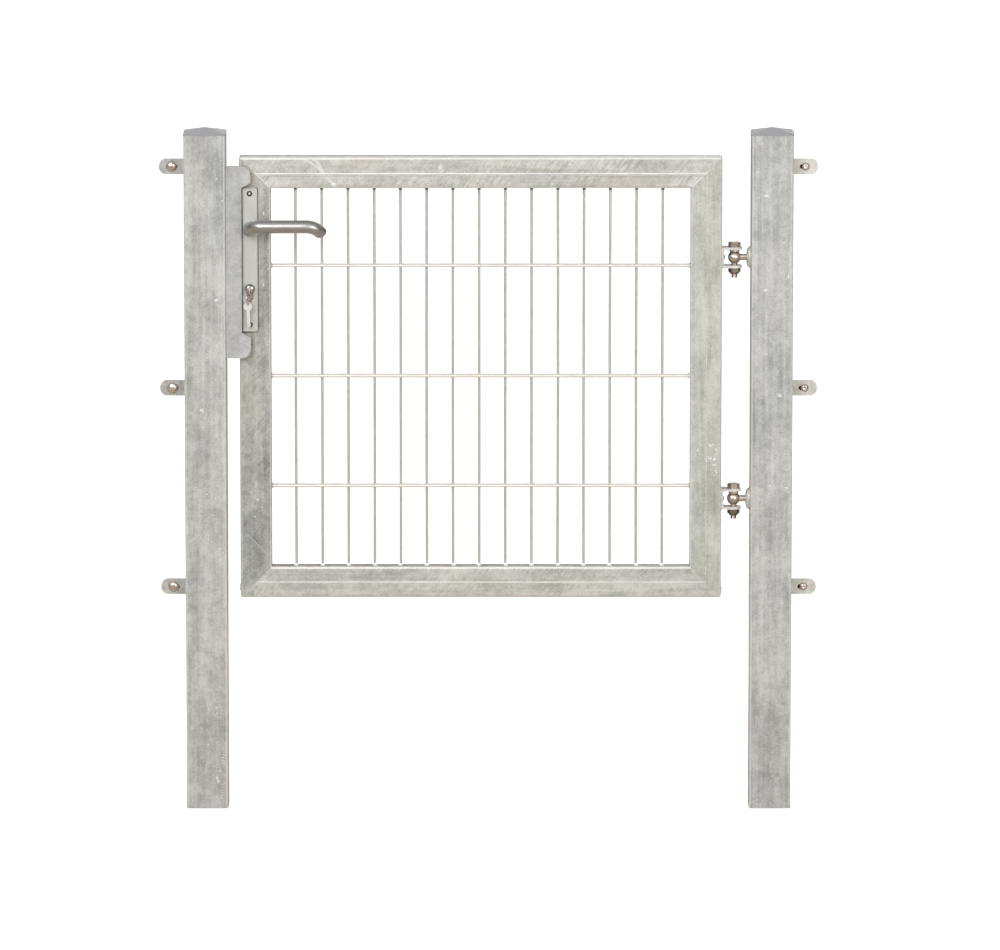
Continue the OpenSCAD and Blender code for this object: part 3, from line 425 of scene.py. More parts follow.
# stainless steel with painted shade on the sides of round parts
turned_steel = brushed("turned steel", (0.97, 0.88, 0.80), (0.62, 0.52, 0.45), (1, 1, 0.2), 0.16, soot=0.62)
dark_steel = brushed("nut steel", (0.40, 0.35, 0.30), (0.20, 0.17, 0.14), (1, 1, 0.3), 0.24)
# near-black washers: painted shadow seen through the lugs' slots
washer_steel = brushed("washer steel", (0.05, 0.04, 0.035), (0.02, 0.016, 0.014), (1, 1, 1), 0.55, 0.2)
# the plate's slanting corners get the painted highlight
dress(brushed("satin plate", (0.73, 0.74, 0.71), (0.62, 0.63, 0.60), (1, 1, 0.03), 0.32, 0.55, rub=1.0),
    "front_escutcheon", "back_escutcheon")
lever_satin = brushed("lever aluminium", (0.58, 0.57, 0.555), (0.42, 0.41, 0.40), (0.03, 1, 1), 0.27)
dress(brushed("knob aluminium", (0.66, 0.65, 0.63), (0.48, 0.47, 0.45), (1, 1, 1), 0.26), "back_knob")
dress(zinc("lock case steel", (0.55, 0.55, 0.54), (0.40, 0.40, 0.39), (1, 1, 1), (0.6, 0.6, 0), 0.0, 0.5),
    "lock_case")
nickel = brushed("nickel", (0.86, 0.83, 0.78), (0.55, 0.50, 0.44), (1, 1, 0.1), 0.14)
screw_nickel = brushed("screw nickel", (1.0, 1.0, 0.98), (0.85, 0.84, 0.80), (1, 1, 1), 0.3, 0.3)
# the keys' faces turned away from the front get painted shade, for dark outlines
key_nickel = brushed("key nickel", (1.0, 1.0, 0.97), (0.88, 0.87, 0.83), (1, 1, 0.1), 0.22, 0.35, grime=0.95)
dress(plastic("buffer rubber", (0.025, 0.025, 0.025), (0.06, 0.06, 0.06), 0.6, 900.0), "stop_buffers")
# near black for painted shadow in gaps, screw seats and round the plates
recess = plastic("dark recess", (0.02, 0.018, 0.015), (0.04, 0.035, 0.03), 0.6, 900.0)
dress(dull_zinc, "lock_stile")
dress(wire_zinc, "mesh_mat")
dress(turned_steel, "upper_eye_bolt", "lower_eye_bolt", "hinge_washers", "upper_hinge_bolt",
    "lower_hinge_bolt", "round_head_screws", "button_head_screws")
dress(dark_steel, "upper_hinge_nut", "lower_hinge_nut", "fence_screw_nuts")
dress(lever_satin, "front_lever")
dress(nickel, "lock_cylinder", "key", "spare_key")


# ---- making pieces ----

def finish_piece(name, bm, material, slot, *instead_of, body="gate", smooth=35.0):
    """Turns the mesh into a closed object at the origin that rides on a body."""
    bmesh.ops.recalc_face_normals(bm, faces=bm.faces)
    limit = radians(smooth)
    for face in bm.faces:
        face.smooth = True
    for edge in bm.edges:
        edge.smooth = len(edge.link_faces) == 2 and edge.calc_face_angle(0.0) < limit
    mesh = bpy.data.meshes.new(name)
    bm.to_mesh(mesh)
    bm.free()
    mesh.materials.append(material)
    thing = new_object(name, mesh)
    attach(thing, body)
    if instead_of:
        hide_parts(*instead_of)
    return thing


def ring(bm, matrix, radius, sides=48):
    """A closed loop of edges round the matrix's own z axis; radius may be a rule of the angle."""
    points = bmesh.ops.create_circle(bm, segments=sides, radius=1.0)["verts"]
    for point in points:
        reach, lift = radius, 0.0
        if callable(radius):
            reach, lift = radius(atan2(point.co.y, point.co.x))
        point.co = matrix @ Vector((point.co.x * reach, point.co.y * reach, lift))
    return list(dict.fromkeys(edge for point in points for edge in point.link_edges))


LIP = 0.05 * MM    # keeps bridged loops out of one plane, where they may pair up twisted


def skin(bm, loops, ends=True):
    """Bridges the loops one after another, and fills the two ends."""
    for low, high in zip(loops, loops[1:]):
        bmesh.ops.bridge_loops(bm, edges=low + high)
    if ends:
        bmesh.ops.edgeloop_fill(bm, edges=loops[0])
        bmesh.ops.edgeloop_fill(bm, edges=loops[-1])


def put(bm, part, place):
    """Adds a small finished mesh to a bigger one, moved to its place."""
    bmesh.ops.transform(part, matrix=place, verts=part.verts[:])
    mesh = bpy.data.meshes.new("part")
    part.to_mesh(mesh)
    part.free()
    bm.from_mesh(mesh)
    bpy.data.meshes.remove(mesh)


def turned(bm, profile, place):
    """A turned part: (radius, height) pairs in mm from foot to top, spun about its z axis."""
    part = bmesh.new()
    points = [part.verts.new((r * MM, 0.0, z * MM)) for r, z in profile]
    line = [part.edges.new(pair) for pair in zip(points, points[1:])]
    bmesh.ops.spin(part, geom=points + line, cent=(0, 0, 0), axis=(0, 0, 1), dvec=(0, 0, 0), angle=2 * pi,
        steps=48, use_merge=True)
    bmesh.ops.remove_doubles(part, verts=part.verts[:], dist=1e-6)
    put(bm, part, place)


def block(bm, size, place=Matrix.Identity(4)):
    bmesh.ops.create_cube(bm, size=1.0, matrix=place @ Matrix.Diagonal((*size, 1.0)))


def bevel(part, edges, offset, segments):
    bmesh.ops.bevel(part, geom=edges, offset=offset, affect="EDGES", segments=segments, profile=0.5,
        material=-1)


def along(points):
    """A frame at each point of a path, without twist."""
    frames, side = [], None
    for i, point in enumerate(points):
        run = (points[min(i + 1, len(points) - 1)] - points[max(i - 1, 0)]).normalized()
        if side is None:
            side = run.orthogonal().normalized()
        side = (side - run * side.dot(run)).normalized()
        frames.append(at(point) @ Matrix((side, run.cross(side), run)).transposed().to_4x4())
    return frames


def bar_along(bm, points, radii, sides=16):
    """A round bar along a path, with a radius at each point."""
    skin(bm, [ring(bm, place, r, sides) for place, r in zip(along(points), radii)])


def hexagon(af, foot, height, chamfer_foot=True, chamfer_top=True):
    """The loops of a hexagon, chamfered or plain, as rules that give radius and height at an angle."""
    flat = af / 2
    land = flat * 0.94    # the flat round face inside the chamfer

    def reach(angle):
        part = (degrees(angle) + 30.0) % 60.0 - 30.0
        return flat / cos(radians(part))

    def end(z, way, chamfer):
        if not chamfer:
            return [lambda a: (reach(a), z)]
        loops = [lambda a: (reach(a), z - way * max(0.0, reach(a) - land) * 0.5), lambda a: (land, z)]
        return loops if way > 0 else loops[::-1]

    return end(foot, -1.0, chamfer_foot) + end(foot + height, 1.0, chamfer_top)


def thread(bm, matrix, radius, pitch, length, sides=24, steps=6):
    """The loops of a screw thread along z, which runs out at its end."""
    depth = 0.5 * pitch
    rows = max(2, int(round(length / pitch * steps)))
    loops = []
    for row in range(rows + 1):
        z = length * row / rows
        left = min(1.0, (length - z) / pitch)

        def reach(angle, z=z, left=left):
            turn = (z / pitch - angle / (2 * pi)) % 1.0
            ridge = abs(turn * 2.0 - 1.0)
            return (radius - depth * (1.0 - ridge) - depth * (1.0 - left) * 1.2, 0.0)

        loops.append(ring(bm, matrix @ up(z), reach, sides))
    return loops


def bead(bm, points, radius, seed, flat, normal=FORWARD, closed=False, pitch=0.55):
    """A weld bead along a path: overlapping ripples, lower than wide, sunk half into the work."""
    chance = Random(seed)
    total = [0.0]
    for a, b in zip(points, points[1:]):
        total.append(total[-1] + (b - a).length)
    steps = max(4, int(total[-1] / (radius * pitch)))
    loops = []
    for i in range(steps + 1):
        want = total[-1] * i / steps
        k = max(j for j in range(len(total)) if total[j] <= want + 1e-9)
        k = min(k, len(points) - 2)
        part = (want - total[k]) / max(1e-9, total[k + 1] - total[k])
        spot = points[k].lerp(points[k + 1], min(1.0, part))
        run = (points[k + 1] - points[k]).normalized()
        across = run.cross(normal).normalized()
        size = radius * (0.88 + 0.18 * (i % 2) + 0.14 * chance.random())
        if not closed and i in (0, steps):
            size *= 0.35
        elif not closed and i in (1, steps - 1):
            size *= 0.8
        spot = spot + across * radius * 0.12 * (chance.random() - 0.5)
        base = Matrix((across, normal, across.cross(normal))).transposed().to_4x4()
        base = at(spot) @ base @ Matrix.Diagonal((1.0, flat, 1.0, 1.0))
        loops.append(ring(bm, base, size, 10))
    if closed:
        loops.append(loops[0])
    skin(bm, loops, ends=not closed)


def blob(bm, where, size, sides=12):
    """A rounded lump of zinc or weld metal; size is (x, y, z) in mm."""
    bmesh.ops.create_uvsphere(bm, u_segments=sides, v_segments=max(6, sides // 2), radius=1.0,
        matrix=at(where) @ Matrix.Diagonal((*(part * MM for part in size), 1.0)))


# ---- mesh: round wires, welded where they cross ----

WIRE_PITCH, WIRE_COUNT = 50 * MM, 15
ROWS_APART, ROW_COUNT = 212.5 * MM, 3
MESH_SHIFT, MESH_RISE = -3 * MM, 2.5 * MM


def upright_places():
    centre = (leaf_lo.x + leaf_hi.x) / 2 + MESH_SHIFT
    return [centre + (i - (WIRE_COUNT - 1) / 2) * WIRE_PITCH for i in range(WIRE_COUNT)]


def mesh_wires():
    chance = Random(7)
    lo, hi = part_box("mesh_mat")
    opening_lo = leaf_lo + Vector((tube, 0, tube))
    opening_hi = leaf_hi - Vector((tube, 0, tube))
    upright_r, cross_r = 2.5 * MM, 3.0 * MM
    cross_y = (hi.y - lo.y) / 2 - cross_r
    centre_z = (leaf_lo.z + leaf_hi.z) / 2 + MESH_RISE
    upright_wires, cross_wires, end_welds = bmesh.new(), bmesh.new(), bmesh.new()
    uprights = upright_places()
    rows = [centre_z + (i - (ROW_COUNT - 1) / 2) * ROWS_APART for i in range(ROW_COUNT)]
    for x in uprights:
        lean = (chance.random() - 0.5) * 1.6 * MM
        points, steps = [], 12
        for k in range(steps + 1):
            z = opening_lo.z + (opening_hi.z - opening_lo.z) * k / steps
            sway = sin(pi * k / steps)
            points.append(Vector((x + lean * sway + (chance.random() - 0.5) * 0.3 * MM * sway, 0, z)))
        bar_along(upright_wires, points, [upright_r] * len(points))
        blob(end_welds, Vector((x + (chance.random() - 0.5) * 2 * MM, -2.2 * MM,
            opening_lo.z + 0.8 * MM)), (4.4, 3.6, 3.4 + 1.2 * chance.random()))
    for z in rows:
        for side in (-1, 1):
            points = [Vector((opening_lo.x + (opening_hi.x - opening_lo.x) * k / 16, side * cross_y, z))
                for k in range(17)]
            bar_along(cross_wires, points, [cross_r] * len(points))
            for x in uprights:
                blob(cross_wires, Vector((x, side * (cross_y - cross_r * 0.9), z)),
                    (3.6, 1.4, 3.6 + 0.5 * chance.random()), 10)
            for x, way in ((opening_lo.x, 1), (opening_hi.x, -1)):
                blob(cross_wires, Vector((x + way * 0.8 * MM, side * cross_y, z)),
                    (2.4 + chance.random(), 4.4, 4.8), 10)
    finish_piece("upright_wires", upright_wires, wire_zinc, "mesh_wire", "mesh_mat", smooth=40)
    finish_piece("wire_end_welds", end_welds, white_zinc, "mesh_wire", smooth=60)
    finish_piece("cross_wires", cross_wires, cross_zinc, "mesh_wire", "mesh_mat", smooth=40)


# ---- lever: one smooth bent bar ----

def smooth_lever():
    hub_r, bar_r = 11.5 * MM, 12.4 * MM
    gap, hub_l = 0.3 * MM, 12 * MM
    stand, lift, bar_l = 47.6 * MM - gap, 10.5 * MM, 81 * MM
    neck_bend, tip_bend, slope, turn = 27 * MM, 30 * MM, radians(45), radians(62)
    start = Vector((spindle.x, plate_lo.y - gap, spindle.z))

    def rise(out):
        part = max(0.0, (out - hub_l) / (stand - hub_l))
        return lift * part * part * (3 - 2 * part)

    def tip(angle):
        back = tip_bend * (1 - cos(angle))
        return Vector((neck_bend + bar_l + tip_bend * sin(angle), back * cos(slope) - stand,
            lift - back * sin(slope)))

    points = [Vector((0, -out * MM, 0)) for out in (0, 0.8, 11, 11.5, 12.2, 15)]
    radii = [hub_r - 0.8 * MM, hub_r, hub_r, hub_r - 0.1 * MM, bar_r - 0.4 * MM, bar_r]
    for i in range(17):
        angle = pi / 2 * i / 16
        out = stand - neck_bend * (1 - sin(angle))
        points.append(Vector((neck_bend * (1 - cos(angle)), -out, rise(out))))
    points += [Vector((neck_bend + bar_l * i / 6, -stand, lift)) for i in range(1, 6)]
    points += [tip(turn * i / 14) for i in range(15)]
    radii += [bar_r] * (len(points) - len(radii))
    edge = 7.5 * MM
    for angle in (12, 25, 38, 50, 62, 72, 80):
        a = radians(angle)
        points.append(tip(turn + edge / tip_bend * sin(a)))
        radii.append(bar_r - edge * (1 - cos(a)))
    bm = bmesh.new()
    bar_along(bm, [start + p for p in points], radii, 48)
    finish_piece("lever", bm, lever_satin, "satin_aluminium", "front_lever", body="handle", smooth=50)


# ---- hinge bolts, lock nuts and fence screws ----

def hinge_fasteners():
    hex_af, head_h, nut_h = 20.6 * MM, 9.2 * MM, 9 * MM
    for level, head_turn, nut_turn in (("upper", 26, 34), ("lower", 33, 25)):
        bolt_lo, bolt_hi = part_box(level + "_hinge_bolt")
        nut_lo, nut_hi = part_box(level + "_hinge_nut")
        head_top, thread_top = bolt_hi.z + 1.7 * MM, nut_lo.z + 0.2 * MM
        head_foot = head_top - head_h
        place = at((hinge_axis, 0, 0))
        bm = bmesh.new()
        head = [ring(bm, place @ about(head_turn), rule) for rule in hexagon(hex_af, head_foot, head_h,
            False)]
        under = ring(bm, place @ up(head_foot - LIP), 5.9 * MM)
        dish = ring(bm, place @ up(head_top - 0.5 * MM), 5.6 * MM)
        shank = ring(bm, place @ up(thread_top), 5.9 * MM)
        skin(bm, [shank, under] + head + [dish])
        skin(bm, thread(bm, place @ up(thread_top) @ DOWN, 5.9 * MM, 1.75 * MM, thread_top - bolt_lo.z,
            48, 8))
        finish_piece(level + "_bolt", bm, turned_steel, "stainless_steel", level + "_hinge_bolt")
        bm = bmesh.new()
        foot = nut_hi.z - nut_h
        flats = [ring(bm, place @ about(nut_turn), rule) for rule in hexagon(hex_af, foot, nut_h)]
        collar = [ring(bm, place @ up(foot - drop * MM), r * MM)
            for r, drop in ((6.1, 2.4), (7.4, 3.0), (8.3, 2.7), (9.1, 1.4), (9.3, 0.2))]
        bore = ring(bm, place @ up(nut_hi.z - LIP), 6.1 * MM)
        skin(bm, collar + flats + [bore, collar[0]], ends=False)
        finish_piece(level + "_lock_nut", bm, dark_steel, "stainless_steel", level + "_hinge_nut")


def socket_head(bm, place, profile, af, depth):
    """A turned head with a hexagon socket in its top; the profile is (radius, height) in mm."""
    top = profile[-1][1]
    head = [ring(bm, place @ up(h * MM), r * MM) for r, h in profile]
    rule = hexagon(af * MM, 0.0, 1.0, False, False)[0]
    socket = [ring(bm, place @ up(h * MM), lambda a: (rule(a)[0], 0.0)) for h in (top - 0.2, top - depth)]
    point = ring(bm, place @ up((top - depth - 0.6) * MM), 0.05 * MM)
    skin(bm, head + socket + [point])


MUSHROOM = ((0, 0), (9.9, 0), (10.25, 0.35), (10.1, 0.9), (9.2, 2.2), (7.6, 3.5), (5.6, 4.4), (3.2, 4.87),
    (1.2, 4.99), (0, 5))
BUTTON = ((3.9, 0.05), (7.4, 0), (7.7, 0.3), (7.5, 1.2), (6.7, 2.5), (5.4, 3.6), (4.1, 4.2), (3.5, 4.4))
WASHER = ((4.2, 0), (11.8, 0), (12, 0.25), (12, 1.75), (11.8, 2), (4.2, 2), (4.2, 0))


def fence_screws():
    lug_lo, lug_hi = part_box("lock_post_lugs")
    nuts, washers = bmesh.new(), bmesh.new()
    for side, kind in (("lock", "round"), ("hinge", "button")):
        bm = bmesh.new()
        for k, level in enumerate(("lower", "middle", "upper")):
            spot = fence_screw_spots[side + "_" + level + "_fence_screw"]
            front = at((spot.x, lug_lo.y, spot.z)) @ FRONT
            turn = about(17 + 23 * k)
            if kind == "round":
                turned(bm, MUSHROOM, front)
            else:
                socket_head(bm, front @ turn, BUTTON, 5, 2.4)
            through = at((spot.x, lug_lo.y, spot.z)) @ BACK
            skin(bm, thread(bm, through, 3.93 * MM, 1.25 * MM, 25 * MM))
            behind = at((spot.x, lug_hi.y, spot.z)) @ BACK
            turned(washers, WASHER, behind)
            flats = [ring(nuts, behind @ turn, rule) for rule in hexagon(13 * MM, 2 * MM, 6.5 * MM)]
            bore = [ring(nuts, behind @ up(h * MM), 4.1 * MM) for h in (8.45, 2.05)]
            skin(nuts, flats + bore + [flats[0]], ends=False)
        finish_piece(side + "_fence_screws", bm, turned_steel, "stainless_steel", kind + "_head_screws",
            body="posts")
    finish_piece("fence_nuts", nuts, dark_steel, "stainless_steel", "fence_screw_nuts", body="posts")
    finish_piece("fence_washers", washers, washer_steel, "stainless_steel", body="posts")


# ---- small screws and the cylinder's faces ----

PLATE_SCREW = ((1.6, 0), (2.2, 0.3), (2.3, 1.2), (2.1, 1.9), (1.6, 2.25), (1.0, 2.3))
# a thin dark skin on each countersink: painted shade round the screw head
SEAT_RIM = ((2.2, 0), (2.6, 0.06), (4.8, 2.36), (5.3, 2.52), (5.3, 2.64), (4.75, 2.6), (2.2, 0.2), (2.2, 0))
FLAT_SCREW = ((3.2, -0.5), (3.6, -0.1), (3.6, 0.1), (3.3, 0.3), (2.4, 0.3))
WEB_SCREW = ((3.2, 0), (5.2, 0), (5.4, 0.3), (5.1, 1.3), (4.0, 2.4), (2.8, 2.9))


def small_screws():
    seat_depth = 2.5 * MM
    screws, rims, gaskets = bmesh.new(), bmesh.new(), bmesh.new()
    for plate, way, turned_to in (("front_escutcheon", -1, FRONT), ("back_escutcheon", 1, BACK)):
        lo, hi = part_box(plate)
        face = lo.y + seat_depth if way < 0 else hi.y - seat_depth
        for k, z in enumerate((hi.z - 12 * MM, lo.z + 14.5 * MM)):
            place = at(((lo.x + hi.x) / 2, face, z)) @ turned_to
            socket_head(screws, place @ about(20 + 31 * k), PLATE_SCREW, 1.5, 0.8)
            turned(rims, SEAT_RIM, place)
        foot = lo.y if way > 0 else hi.y
        # a thin near-black sheet just under each plate's edges: painted shadow round the plate
        centre = Vector(((lo.x + hi.x) / 2 + 0.2 * MM, foot + way * 0.45 * MM, (lo.z + hi.z) / 2 - 0.5 * MM))
        size = (hi.x - lo.x + 1.8 * MM, 0.9 * MM, hi.z - lo.z + 1.0 * MM)
        part = bmesh.new()
        block(part, size)
        upright = [edge for edge in part.edges if abs(edge.verts[0].co.y - edge.verts[1].co.y) > 0.5 * MM]
        bevel(part, upright, 5.5 * MM, 6)
        # the painted shadow outline is open in the middle, for the spindle and the cylinder
        broad = [side for side in part.faces if side.calc_area() > 0.5 * size[0] * size[2]]
        bmesh.ops.inset_region(part, faces=broad, thickness=5 * MM, use_even_offset=True)
        inner = list({edge for side in broad for edge in side.edges})
        bmesh.ops.delete(part, geom=broad, context="FACES_ONLY")
        bmesh.ops.bridge_loops(part, edges=inner)
        bmesh.ops.recalc_face_normals(part, faces=part.faces[:])
        put(gaskets, part, at(centre))
    finish_piece("plate_gaskets", gaskets, recess, "buffer_rubber")
    finish_piece("plate_screws", screws, screw_nickel, "stainless_steel")
    finish_piece("plate_screw_rims", rims, recess, "stainless_steel")
    bm = bmesh.new()
    lo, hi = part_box("lock_forend")
    for k, z in enumerate((lo.z + 9 * MM, hi.z - 9 * MM)):
        socket_head(bm, at((lo.x, (lo.y + hi.y) / 2, z)) @ LEFT @ about(14 + 25 * k), FLAT_SCREW, 3, 1.2)
    finish_piece("forend_screws", bm, dark_steel, "stainless_steel")
    bm = bmesh.new()
    lo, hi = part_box("lock_keep")
    for k, share in enumerate((0.12, 0.5, 0.88)):
        socket_head(bm, at((lo.x + 5 * MM, -14 * MM, lo.z + (hi.z - lo.z) * share)) @ RIGHT
            @ about(9 + 21 * k), WEB_SCREW, 4, 1.8)
    finish_piece("keep_screws", bm, dark_steel, "stainless_steel", body="posts")


def cylinder_plugs():
    """The plug in each face of the cylinder, in front with the key and behind with its keyway; dark pieces
    paint the shadow in the keyway and in the gaps round the cylinder.
    """
    lo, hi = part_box("lock_cylinder")
    x, barrel = spindle.x, hi.z - 8.5 * MM
    plugs, keyway = bmesh.new(), bmesh.new()
    profile = ((0, -1), (6.3, -1), (6.3, 0.2), (6.0, 0.4), (0, 0.4))
    # a thin dark ring round each plug: painted shadow of its gap
    groove = ((6.35, 0), (6.75, 0), (6.75, 0.06), (6.35, 0.06), (6.35, 0))
    for y, turned_to in ((lo.y, FRONT), (hi.y, BACK)):
        place = at((x, y, barrel)) @ turned_to
        turned(plugs, profile, place)
        turned(keyway, groove, place)
    finish_piece("cylinder_plugs", plugs, nickel, "nickel")
    # a dark block on the back plug: painted shade in its keyway
    block(keyway, (1.7 * MM, 0.1 * MM, 8.4 * MM), at((x, hi.y + 0.42 * MM, barrel)))
    # painted shadow in the gap between the cylinder and each plate
    for y, turned_to in ((plate_lo.y, FRONT), (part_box("back_escutcheon")[1].y, BACK)):
        for r, z in ((8.45, barrel), (4.95, lo.z + 5 * MM)):
            gap = ((r, -0.5), (r + 1.05, -0.5), (r + 1.05, 0.12), (r, 0.12), (r, -0.5))
            turned(keyway, gap, at((x, y, z)) @ turned_to)
        for side in (-1, 1):
            place = at((x + side * 5.47 * MM, y, lo.z + 11 * MM))
            block(keyway, (1.05 * MM, 0.26 * MM, 12 * MM), place)
    finish_piece("keyway_shadow", keyway, recess, "nickel")


# ---- keys ----

def key_bow(bm, place, radius, off):
    """A round flat bow with softened edges; its hole sits off its centre along the frame's y axis."""
    soft, half, hole = 0.5 * MM, 1 * MM, 3.5 * MM
    offset, centred = at((0, off, 0)), Matrix.Identity(4)

    def loop(matrix, r, z):
        return ring(bm, place @ matrix @ up(z), r, 40)

    loops = [loop(offset, hole, LIP - half), loop(centred, radius - soft, -half),
        loop(centred, radius, soft - half), loop(centred, radius, half - soft),
        loop(centred, radius - soft, half), loop(offset, hole, half - LIP)]
    skin(bm, loops + [loops[0]], ends=False)


def key_blade(bm, place, length, start):
    """A flat blade down the frame's -y axis, with a raised rib along it."""
    width, thick, y = 7 * MM, 1.9 * MM, -start - length / 2
    blade = (width, length, thick)
    rib = (width * 0.28, length - 5 * MM, thick + 0.5 * MM)
    for size, soft, steps, spot in ((blade, 0.45 * MM, 3, (0, y, 0)), (rib, 0.2 * MM, 2,
            (-width * 0.18, y + 1 * MM, 0))):
        part = bmesh.new()
        block(part, size)
        bevel(part, part.edges[:], soft, steps)
        put(bm, part, place @ at(spot))


def keys():
    lo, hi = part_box("key")
    bow_r = (hi.z - lo.z) / 2
    centre = Vector(((lo.x + hi.x) / 2, lo.y + bow_r, (lo.z + hi.z) / 2))
    # the frame's x axis is up, its y axis to the front, its z axis across the gate
    edge_on = at(centre) @ Matrix(((0, 0, 1), (0, -1, 0), (1, 0, 0))).to_4x4()
    bm = bmesh.new()
    key_bow(bm, edge_on @ Matrix.Rotation(-pi / 2, 4, "Z"), bow_r, -6 * MM)
    key_blade(bm, edge_on, hi.y - centre.y - 9 * MM, 8 * MM)
    finish_piece("inserted_key", bm, key_nickel, "nickel", "key")
    lo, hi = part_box("spare_key")
    bow_r = (hi.x - lo.x) / 2
    hole = Vector(((lo.x + hi.x) / 2 - 3.5 * MM, lo.y + 1 * MM, hi.z - bow_r + 5 * MM))
    lean = about(9, "X") @ about(-2, "Y")
    hang = at(hole) @ lean @ FRONT @ at((0, -6 * MM, 0))
    bm = bmesh.new()
    key_bow(bm, hang, bow_r, 6 * MM)
    key_blade(bm, hang, 34 * MM, 7.5 * MM)
    finish_piece("hanging_key", bm, key_nickel, "nickel", "spare_key")


# ---- welds, tube seams and drips of zinc ----

def tube_seams():
    """The tube's own weld shows as a low line along the middle of each bar's face; a dull line just under the
    top one is its painted shadow.
    """
    half = tube / 2
    front = leaf_lo.y - 0.05 * MM
    chance = Random(3)
    top, side = leaf_hi.z - half - 2 * MM, leaf_hi.x - half + 1 * MM
    left, right, low, high = leaf_lo.x + half, leaf_hi.x - half, leaf_lo.z + half, leaf_hi.z - half
    seams = ((1.5, (left, top), (right, top)), (1.1, (left, low), (right, low)),
        (0.4, (side, low), (side, high)))
    shade = ((0.8, (left, top - 3.3 * MM), (right, top - 3.3 * MM)),)
    for name, finish, lines in (("tube_seams", bright_zinc, seams), ("seam_shade", dull_zinc, shade)):
        bm = bmesh.new()
        for wide, (x0, z0), (x1, z1) in lines:
            steps = 60
            loops = []
            across = Vector((0, 0, 1)) if z0 == z1 else Vector((1, 0, 0))
            turn = Matrix((across, Vector((0, 1, 0)), across.cross(Vector((0, 1, 0))))).transposed().to_4x4()
            for i in range(steps + 1):
                t = i / steps
                width = (wide + 0.4 * chance.random()) * MM
                base = at((x0 + (x1 - x0) * t, front, z0 + (z1 - z0) * t)) @ turn
                loops.append(ring(bm, base @ Matrix.Diagonal((1.0, 0.35 * MM / width, 1.0, 1.0)), width, 8))
            skin(bm, loops)
        finish_piece(name, bm, finish, "galvanised_steel", smooth=60)


def frame_welds():
    """Beads on the inner half of each mitre, in front and behind; outside they are ground flush."""
    bm = bmesh.new()
    seed = 11
    for face, normal in ((leaf_lo.y, FORWARD), (leaf_hi.y, -FORWARD)):
        for x, sx in ((leaf_lo.x, 1), (leaf_hi.x, -1)):
            for z, sz in ((leaf_lo.z, 1), (leaf_hi.z, -1)):
                share, size = (0.46, 1.2 * MM) if sz < 0 else (0.8, 0.5 * MM)
                a = Vector((x + sx * tube * share, face, z + sz * tube * share))
                b = Vector((x + sx * (tube - 1 * MM), face, z + sz * (tube - 1 * MM)))
                bead(bm, [a, a.lerp(b, 0.5), b], size, seed, 0.3, normal)
                seed += 1
    finish_piece("mitre_welds", bm, bright_zinc, "galvanised_steel", smooth=70)
    bm = bmesh.new()
    for level, z in hinge_heights.items():
        lo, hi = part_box(level + "_hinge_bracket")
        x = leaf_hi.x + 0.4 * MM
        half = 14.5 * MM
        low, high = lo.z + 1 * MM, hi.z - 1 * MM
        corners = [Vector((x, y, z)) for y, z in ((-half, low), (half, low), (half, high), (-half, high),
            (-half, low))]
        for pair in zip(corners, corners[1:]):
            seed += 1
            bead(bm, pair, 1.9 * MM, seed, 0.8, Vector((1, 0, 0)))
    finish_piece("bracket_welds", bm, bright_zinc, "galvanised_steel", smooth=70)
    bm = bmesh.new()
    for z in hinge_heights.values():
        seed += 1
        x = hinge_post_lo.x - 0.3 * MM
        reach = boss_radius + 0.4 * MM
        circle = [Vector((x, reach * cos(2 * pi * k / 24), z + reach * sin(2 * pi * k / 24)))
            for k in range(25)]
        bead(bm, circle, 1.7 * MM, seed, 0.8, Vector((-1, 0, 0)), closed=True)
    for x, way in ((lock_post_lo.x, -1), (hinge_post_hi.x, 1)):
        for z in sorted({spot.z for spot in fence_screw_spots.values()}):
            for y in (-2.6 * MM, 2.6 * MM):
                seed += 1
                bead(bm, [Vector((x + way * 0.4 * MM, y, z + end * MM)) for end in (-13.5, 13.5)],
                    2.1 * MM, seed, 0.7, Vector((0, -1 if y < 0 else 1, 0)))
    finish_piece("post_welds", bm, bright_zinc, "galvanised_steel", body="posts", smooth=70)


def flat_drops(bm, face, drops):
    """Low drops of zinc on an upright face: (x, z in metres, width, height in mm)."""
    for x, z, width, height in drops:
        blob(bm, Vector((x, face, z)), (width / 2, 0.4, height / 2))


SPREAD = 0.45    # of a clump's splashes, in its half sizes


def spatter(bm, face, clumps, chance):
    """Clumps of small splashes on an upright face: (x, z in metres, half width, half height in mm, count)."""
    for x, z, wide, high, count in clumps:
        for _ in range(count):
            spot = Vector((x + wide * chance.gauss(0, SPREAD) * MM, face,
                z + high * chance.gauss(0, SPREAD) * MM))
            size = 0.9 + 1.3 * chance.random()
            blob(bm, spot, (size, 0.3, size * 0.9), 8)


